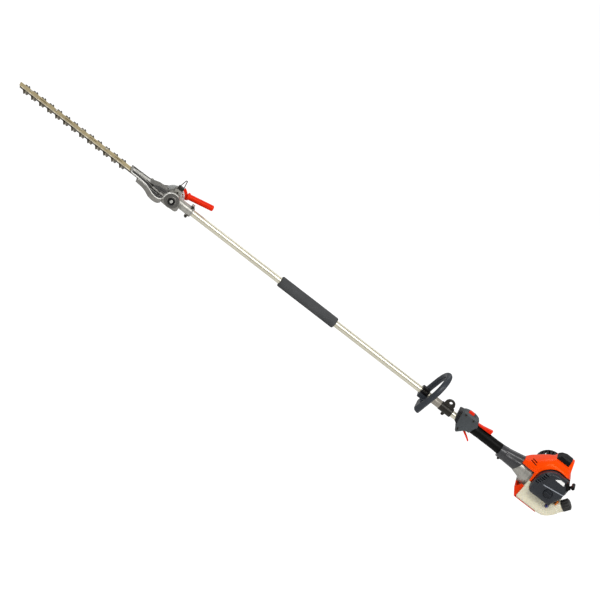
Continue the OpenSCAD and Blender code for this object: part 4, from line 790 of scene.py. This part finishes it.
# ---- Loop handle, its clamp, the sleeve and the hanger ----
# The loop and its clamp are nylon mouldings screwed round the tube, the sleeve is a
# turned aluminium spacer, and the harness hangs from a blackened steel casting.
loop_nylon = surface("loop_nylon", paint(48, 53, 60), paint(36, 40, 46), 0.4, 0.14,
                     bump=0.3, wear=0.3, bare=paint(94, 98, 104),
                     shader={"Specular IOR Level": 0.35})
black_nylon = surface("black_nylon", paint(16, 16, 18), paint(10, 10, 11), 0.3, 0.12,
                      bump=0.2, wear=0.3, bare=paint(64, 64, 68),
                      shader={"Specular IOR Level": 0.1})
sleeve_metal = surface("sleeve_metal", paint(166, 160, 148), paint(134, 128, 118), 0.42,
                       shader={"Metallic": 0.4})
cast_from("loop_handle", "loop_moulding", loop_nylon, 1.0, 4)
cast_from("loop_clamp", "loop_clamp_moulding", black_nylon, 0.7, 2)
dress("spacer_sleeve", sleeve_metal, 0.6)
cast_from("hanger_clamp", "hanger_casting", black_steel, 0.7, 2)

# ---- Throttle housing and rear grip ----
# Two nylon shells, screwed together round the tube, carry the red trigger, lockout and
# stop switch. The rear grip is a black rubber sleeve behind them.
housing_nylon = surface("housing_nylon", paint(68, 73, 76), paint(54, 58, 60), 0.42, 0.14,
                        bump=0.3, wear=0.35, bare=paint(116, 120, 122),
                        shader={"Specular IOR Level": 0.35},
                        zones=(("band", paint(18, 18, 20)),))
grip_rubber = surface("grip_rubber", paint(9, 9, 7), paint(5, 5, 4), 0.46, 0.12,
                      grain=1100.0, bump=0.5, depth=0.0002,
                      shader={"Specular IOR Level": 0.1})
# Each shell has a black ribbed band round its front end; the ribs give the fingers a hold
housing_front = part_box("throttle_housing_near")[0].x * 1000 - 3.5
band_start, band_w, band_lean, band_top = 5, 12.5, 0.24, 26
for side, face_y in (("near", -19), ("far", 19)):
    shell = cast_from("throttle_housing_" + side, "throttle_shell_" + side, housing_nylon,
                      0.8, 4)
    at = read_points(shell)
    lean = band_lean * np.maximum(0, band_top - at[:, 2] + axis_z)
    from_front = at[:, 0] - housing_front - band_start - lean
    write_points(shell, at, band=1 - ramp(from_front - band_w, 0.8))
    outward = math.copysign(1, face_y)
    rib = solid_of("rib", [[(x, face_y + outward * y, z) for y, z in (
        (-1, -w), (h - 0.4, -w), (h, 0.5 - w), (h, w - 0.5), (h - 0.4, w), (-1, w))]
        for x, w, h in ((4, 1.0, 0.2), (5, 1.6, 1.1), (12, 1.6, 1.1), (13, 1.0, 0.2))])
    ribs = repeat(rib, "throttle_ribs_" + side, black_nylon, 5, step=(1.9, 0, -7.4),
                  place=(housing_front + band_start, 0, 24))
    add_piece(ribs, "root")
dress("throttle_trigger", red_nylon, 0.8)
dress("throttle_lockout", red_nylon, 0.8)
dress("stop_switch", red_nylon, 0.5)
dress("rear_grip", grip_rubber, 1.2)

# ---- Shaft socket and clutch housing ----
# The socket is a nylon moulding between the rear grip and the clutch's cast aluminium
# housing. It rises to a saddle under the hood, with a step along each side and a collar.
socket_nylon = surface("socket_nylon", paint(60, 60, 63), paint(46, 46, 48), 0.27, 0.12,
                       bump=0.12, wear=0.3, bare=paint(112, 112, 114),
                       shader={"Specular IOR Level": 0.45})
socket_low, socket_high = (c * 1000 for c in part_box("shaft_socket"))
socket_r, widening, saddle_rise = 22.9, 3.6, 15.5
collar_length, collar_t = 23, 0.9
step_low, step_high, step_depth = 6.5, 15, 1.5
rings = []
for i in range(45):
    x = socket_low.x + (socket_high.x - socket_low.x) * i / 44
    t = i / 44
    r = socket_r + widening * t ** 0.8
    rise = saddle_rise * max(0, t - 0.1) ** 1.25
    mouth = collar_t if x < socket_low.x + collar_length else 0.0
    ring = []
    for k in range(96):
        a = 2 * math.pi * k / 96
        y, z = math.cos(a), math.sin(a)
        lift = max(0, z) ** 0.7 * rise * (1 - 0.35 * abs(y) ** 3)
        upper = min(1, max(0, (z * r - step_low - 5 * t) / 1.2))
        step = step_depth * upper * (1 - min(1, max(0, (z * r - step_high) / 5)))
        step = 0 if mouth else step
        rr = r + mouth - step
        ring.append((x, y * rr, 2 + z * rr + lift))
    rings.append(ring)
# It ends in a sloped joint with the clutch housing, and has room for the tube, the shaft,
# the housing's nose and the clamp screw
joint_edge = [(-115, -60), (-115, -30), (-95, 20), (-101, 60), (-40, 60), (-40, -60)]
tube_room, shaft_room, nose_room = 12.3, 6, 18.2
screw_x, screw_z, screw_room = socket_low.x + 13, -20.5, 5
socket = solid_of("socket_moulding", rings)
carve(socket, across(joint_edge, -60, 60),
      along(disc(tube_room), socket_low.x - 5, socket_low.x + 59),
      along(disc(shaft_room), socket_low.x - 5, -80), along(disc(nose_room), -122, -60),
      across(disc(screw_room, 24, screw_x, screw_z), -32, -9))
soften(socket, 0.8, 3)
stand_for(socket, socket_nylon, "shaft_socket")
cast_from("clutch_housing", "clutch_casting", cast, 1.0, 3)

# ---- Engine block ----
# Die-cast aluminium: the crankcase, the finned cylinder, the flywheel and the body of
# the carburettor, screwed together, with a glazed ceramic spark plug in the head.
dress("flywheel", cast, 0.3)
dress("crankcase", cast, 1.0)
dress("engine_cylinder", cast, 0.4)
dress("carburettor", cast, 0.6)
ceramic = surface("glazed_ceramic", paint(236, 232, 222), paint(226, 222, 210), 0.12)
dress("spark_plug", ceramic, 0.3)

# ---- Hood ----
# A thin-walled orange nylon moulding, screwed over the cylinder and opened for the
# filter, the muffler, the plug and the clutch housing. A black plug cover clips on top.
hood_nylon = surface("orange_hood", paint(255, 74, 2), paint(247, 62, 0), 0.24, 0.1,
                     patches=9.0, bump=0.08, wear=0.2, bare=paint(255, 122, 50),
                     shader={"Specular IOR Level": 0.28,
                             "Specular Tint": (1.0, 0.45, 0.16, 1)})
# Rows of the hood from front to back: x, near y, far y, top z, corner radius
hood_rows = [(-99, -30, 17, 43, 12), (-84, -42, 32, 56, 17), (-68, -51, 37, 72, 25),
             (-50, -58, 40, 91, 32), (-32, -62, 40, 106, 36), (-18, -62, 40, 115, 38),
             (34, -62, 40, 115, 38), (46, -62, 40, 111, 38), (56, -62, 40, 97, 34),
             (71, -62, 40, 74, 24)]
hood_foot, hood_wall, far_round, oval = 28, 2.6, 1.25, 1.1


def hood_row(x):
    """The row at x, on smooth curves through the given rows."""
    i = max(k for k in range(len(hood_rows) - 1) if hood_rows[k][0] <= x + 1e-6)
    before, one, two, after = (hood_rows[min(max(k, 0), len(hood_rows) - 1)]
                               for k in (i - 1, i, i + 1, i + 2))
    h = two[0] - one[0]
    t = (x - one[0]) / h
    row = []
    for k in range(1, 5):
        step = (two[k] - one[k]) / h
        m = [step, step]
        if before is not one:
            last = (one[k] - before[k]) / (one[0] - before[0])
            m[0] = 0 if last * step <= 0 else 2 / (1 / last + 1 / step)
        if after is not two:
            following = (after[k] - two[k]) / (after[0] - two[0])
            m[1] = 0 if following * step <= 0 else 2 / (1 / following + 1 / step)
        row.append(one[k] * (1 + 2 * t) * (1 - t) ** 2 + m[0] * h * t * (1 - t) ** 2
                   + two[k] * t * t * (3 - 2 * t) + m[1] * h * t * t * (t - 1))
    return row


def hood_ring(x, inset, foot):
    """One outline of the hood in Y and Z, rounded more on the far side."""
    near, far, top, corner = hood_row(x)
    n, f, t, c = near + inset, far - inset, top - inset, corner - inset
    d = far_round * c
    arc_a = [math.radians(180 - 9 * k) for k in range(11)]
    arc_b = [math.radians(90 - 9 * k) for k in range(11)]
    points = [(n, foot + (t - oval * c - foot) * k / 6) for k in range(6)]
    points += [(n + c + c * math.cos(a), t - oval * c + oval * c * math.sin(a)) for a in arc_a]
    points += [(f - d + d * math.cos(a), t - oval * d + oval * d * math.sin(a)) for a in arc_b]
    points += [(f, foot + (t - oval * d - foot) * (1 - k / 6)) for k in range(1, 7)]
    return [(x, y, z) for y, z in points]


def box_ring(x0, x1, y0, y1, z, r=4):
    """A rectangle with round corners in X and Y, at one height."""
    return [(cx + r * math.cos(math.radians(a)), cy + r * math.sin(math.radians(a)), z)
            for cx, cy, start in ((x1 - r, y0 + r, -90), (x1 - r, y1 - r, 0),
                                  (x0 + r, y1 - r, 90), (x0 + r, y0 + r, 180))
            for a in range(start, start + 91, 15)]


hood_front, hood_length = hood_rows[0][0], hood_rows[-1][0] - hood_rows[0][0]
xs = [hood_front + hood_length * i / 56 for i in range(57)]
plinth = [box_ring(-24, 34, -36, 32, 98), box_ring(-22, 33, -30, 26, 107),
          box_ring(-20, 32, -25, 21, 116)]
fin = [box_ring(31, 55, -34, 30, 96, 3), box_ring(31, 49, -26, 23, 112, 3),
       box_ring(31, 40, -13, 12, 137.5, 3)]
tongue = across([(-51, 46), (-48, 5), (-40, 5), (-40, 46)], -62, -59.4)
hood = solid_of("hood_moulding", [hood_ring(x, 0, hood_foot) for x in xs])
carve(hood, [hood_ring(x, hood_wall, hood_foot - 10) for x in xs
             if hood_front + 2.5 < x < hood_front + hood_length - 2.5])
arch_c, arch_r, arch_foot, arch_toe = (21, 35), 60, -13.7, 18


def arch(inset, count=24):
    """The outline over the air filter, drawn in by inset, in X and Z."""
    r, toe = arch_r - inset, arch_toe - inset
    points = [(arch_c[0] - arch_r + arch_toe + toe * math.cos(math.radians(270 - 90 * k / 6)),
               arch_foot + arch_toe + toe * math.sin(math.radians(270 - 90 * k / 6)))
              for k in range(7)]
    points += [(arch_c[0] + r * math.cos(math.radians(180 - 108 * k / count)),
                arch_c[1] + r * math.sin(math.radians(180 - 108 * k / count)))
               for k in range(count + 1)]
    return points + [(58 - inset, 94 - inset), (72 - inset, 73 - 0.6 * inset), (75 - inset, 60),
                     (75 - inset, 29), (61 - inset, 3), (58 - inset, arch_foot + inset)]


combine(hood, "UNION", (plinth, fin, tongue))
# Openings for the filter, the muffler, the starter, the spark plug, the rope's guide and
# the clutch housing; the near lower edge rises as the side widens
muffler_door = [(x, z) for x, z, _ in box_ring(-40, 40, 0, 78, 0, 8)]
starter_cut = [(44, 0), (90, 0), (90, 66), (44, 66)]
plug_hole = disc(13, 48, 12)
rope_cut = [(60, 60), (90, 60), (90, 78), (60, 78)]
bell_room = [[(x, y, z) for y, z in disc(r + 0.5, 64)]
             for x, r in ((-112, 24.5), (-80, 33), (-62, 43), (-56, 46), (20, 46))]
edge_cut = [(-104, 20), (-104, 28), (-99, 28), (-51, 38), (-51, 20)]
carve(hood, across(arch(-2.0), -66, -54), across(muffler_door, 24, 45),
      across(starter_cut, -70, 60),
      [[(x, y, z) for x, y in plug_hole] for z in (80, 112.3, 140)],
      across(rope_cut, -53, -31), bell_room, across(edge_cut, -100, -10))


# Two slots, cut square to the near shoulder; they are drawn in X and up the shoulder
def through_shoulder(outline, t0, t1):
    """Rings of an outline, run square to the hood's near shoulder from t0 to t1."""
    lean = math.radians(22)
    return [[(x, up * math.sin(lean) - t * math.cos(lean),
              up * math.cos(lean) + t * math.sin(lean)) for x, up in outline]
            for t in (t0, t1)]


slot_w, slot_skew = 3, 1
for front, back, x0, x1 in ((47.6, 43.9, -80, -63.5), (39.9, 35.2, -83, -61)):
    carve(hood, through_shoulder([(x0, front), (x1, back), (x1 + slot_skew, back + slot_w),
                                  (x0 + slot_skew, front + slot_w)], 38, 86))
soften(hood, 1.0, 3)
stand_for(hood, hood_nylon, "engine_hood")
# A black baffle under the shoulder closes the view through the slots, standing in for the shade
# inside the hood
shade_baffle = solid_of("hood_baffle", through_shoulder([(-84.5, 35), (-84.5, 49), (-57, 49),
                                                   (-57, 35)], 18, 20))
add_piece(shade_baffle, "root", black_nylon)
cast_from("plug_cover", "plug_cover_moulding", black_nylon, 0.8, 5)

# ---- Muffler and its guard ----
# The muffler is pressed sheet steel, stained by heat and bolted to the cylinder's far
# side. A ribbed guard of black nylon keeps hands off it.
stained_sheet = surface("stained_sheet", paint(134, 128, 118), paint(96, 84, 70), 0.4, 0.2,
                        patches=40.0, amount=1.0, shader={"Metallic": 0.8})
dress("muffler", stained_sheet, 1.0)
dress("muffler_guard", black_nylon, 1.0)

# ---- Air filter ----
# A felt element between a slate nylon base and cover, held by one large knob. The cover
# is a moulding with a crease across its face; the choke lever sits beside it.
# Its crease zone is a painted highlight along the cover's crease
slate_nylon = surface("slate_nylon", paint(39, 43, 49), paint(30, 33, 38), 0.3, 0.12,
                      bump=0.2, wear=0.4, bare=paint(112, 118, 126),
                      shader={"Specular IOR Level": 0.35},
                      zones=(("crease", paint(152, 157, 164)),))
felt = surface("filter_felt", paint(126, 134, 110), paint(100, 106, 86), 0.95, grain=2600.0,
               bump=0.8, depth=0.0004)
dress("filter_base", slate_nylon, 0.6)
dress("air_filter", felt)
cover = cast_from("air_filter_cover", "filter_cover_moulding", slate_nylon, 0.8, 3)
# A row of cooling slots follows the front of the arch, and the choke lever swings free
cover_face, cover_back = -100, -72
slot_half, slot_tall, slot_pitch, slot_lean = 7.5, 4.9, 8.05, 0.35
slot_low, (slot_x, slot_z) = 28.2, (-23.7, 44.5)
for i in range(6):
    z = slot_low + slot_pitch * i
    x = slot_x + slot_lean * (z - slot_z)
    carve(cover, across([(x - slot_half, z), (x + slot_half - 1, z + 1),
                         (x + slot_half, z + slot_tall), (x - slot_half + 1, z + slot_tall)],
                        cover_face, cover_back))
lever_room = [(74.2, 36), (90, 36), (90, 72), (74.2, 72)]
carve(cover, across(lever_room, -92, -50))
# Above the crease the face lies deeper than below it
crease_low, crease_high, relief = (-14, 36.2), (81, 50), 2.4
at = read_points(cover)
x, y, z = at[:, 0].copy(), at[:, 1].copy(), at[:, 2] - axis_z
slope = (crease_high[1] - crease_low[1]) / (crease_high[0] - crease_low[0])
above = z - crease_low[1] - slope * (x - crease_low[0])
at[:, 1] += relief * ramp(above, 1.0) * ramp(x + 8, 5) * np.clip((-y - 78) / 8, 0, 1)
# The lower edge laps over the tank's face, a little clear of it
lap_from, lap, lap_gap = 3, 1.32, 0.8
at[:, 1] -= lap_gap * ramp(-9 - z, 4) * (y > cover_back)
at[:, 2] = np.where(z < lap_from, lap_from - (lap_from - z) * lap, z) + axis_z
# A painted highlight: a light line along the crease on the near face
crease_highlight = ramp(above + 1.9, 0.9) * ramp(0.9 - above, 0.9) * ramp(x + 9, 6) * (y < -88)
write_points(cover, at, crease=crease_highlight)
# A bare bright plate lies in the pocket, and a soft black seal closes the joint with the hood; its
# black stands in for the shade in that gap
plate_paint = surface("plate_paint", paint(246, 246, 244), paint(236, 236, 234), 0.25, 0.08)
plate_edge = [(15, 77), (28, 86), (31, 87), (46, 87), (48.5, 85.6), (51.2, 77), (49.4, 75.2),
              (16, 75.6)]
plate = solid_of("cover_plate", across(plate_edge, -89.5, -84.2))
soften(plate, 0.5, 3)
add_piece(plate, "root", plate_paint)
latch_edge = [(51, 84), (52.5, 93), (57, 96.5), (62, 93), (66, 84), (71, 74), (70, 68),
              (65.5, 69), (61, 79), (55, 81)]
latch = solid_of("cover_latch", across(latch_edge, -91.5, -80))
soften(latch, 0.7, 4)
add_piece(latch, "root", black_nylon)
seal = solid_of("filter_seal", across(arch(-1.8), -61.6, -55.5))
carve(seal, across(arch(0.5), -66, -50))
add_piece(seal, "root", grip_rubber)
knob_nylon = surface("knob_nylon", paint(30, 34, 40), paint(22, 25, 30), 0.34, 0.12,
                     bump=0.2, wear=0.3, bare=paint(84, 90, 98),
                     shader={"Specular IOR Level": 0.3})
dress("filter_knob", knob_nylon, 0.8)
dress("choke_lever", black_nylon, 0.6)

# ---- Fuel tank ----
# A blow-moulded polythene tank with a screwed nylon cap and a blue silicone primer. The
# orange nylon guard runs under it and slants up in front to the clutch housing.
tank_plastic = surface("tank_polythene", paint(230, 225, 201), paint(218, 212, 186), 0.36, 0.12,
                       patches=7.0, bump=0.12, shader={"Subsurface Weight": 0.15,
                                                       "Subsurface Radius": (0.01, 0.008, 0.005)})
guard_nylon = surface("orange_guard", paint(236, 54, 6), paint(212, 42, 3), 0.36, 0.12,
                      wear=0.4, bare=paint(250, 124, 76),
                      shader={"Specular IOR Level": 0.3, "Specular Tint": (1.0, 0.4, 0.2, 1)})
cap_nylon = surface("cap_nylon", paint(50, 50, 48), paint(36, 36, 35), 0.44, 0.12, bump=0.3,
                    wear=0.4, bare=paint(96, 96, 94), shader={"Specular IOR Level": 0.3})
primer_rubber = surface("primer_silicone", paint(22, 24, 128), paint(14, 16, 96), 0.2,
                        shader={"Coat Weight": 0.4})
tank = soften(copy_of("fuel_tank", "tank_blow_moulding"), 1.2, 10)
primer_x, primer_z, seat_r = 56, -29, 7.0
carve(tank, across(disc(seat_r, 48, primer_x, primer_z), -72, -59.6))
stand_for(tank, tank_plastic, "fuel_tank")
# An amber union on the tank's shoulder takes the fuel hose up behind the filter
amber_nylon = surface("amber_nylon", paint(226, 126, 34), paint(204, 104, 22), 0.3, 0.1,
                      bump=0.1, shader={"Specular IOR Level": 0.35})
union_spot = (79, -50)
union = turned("fuel_union", [(0.01, -3), (4.6, -3), (4.6, 5), (3.2, 6.2), (3.2, 9), (4.2, 10.4),
                              (3.2, 13), (4.2, 14.4), (3.2, 17), (2.8, 18), (0.01, 18)],
               (*union_spot, axis_z - 14), (0, 0, 1), 32)
add_piece(union, "root", amber_nylon)
dress("tank_guard", guard_nylon, 0.8)
dress("fuel_cap", cap_nylon, 1.2)
dress("primer_bulb", primer_rubber)

# ---- Starter ----
# A black nylon housing, screwed to the back of the crankcase, covers the rope's pulley.
# The handle is a moulded grip on the end of the rope.
dress("starter_housing", black_nylon, 1.2)
cast_from("starter_handle", "pull_handle", black_nylon, 0.7, 5)

# ---- Fasteners ----
# Socket-head screws of blackened steel hold the halves of the gear case, the clamps
# along the tube, the throttle shells and the starter.
for name in ("case_screws", "clamp_screws", "cover_screws"):
    dress(name, black_steel, 0.25)
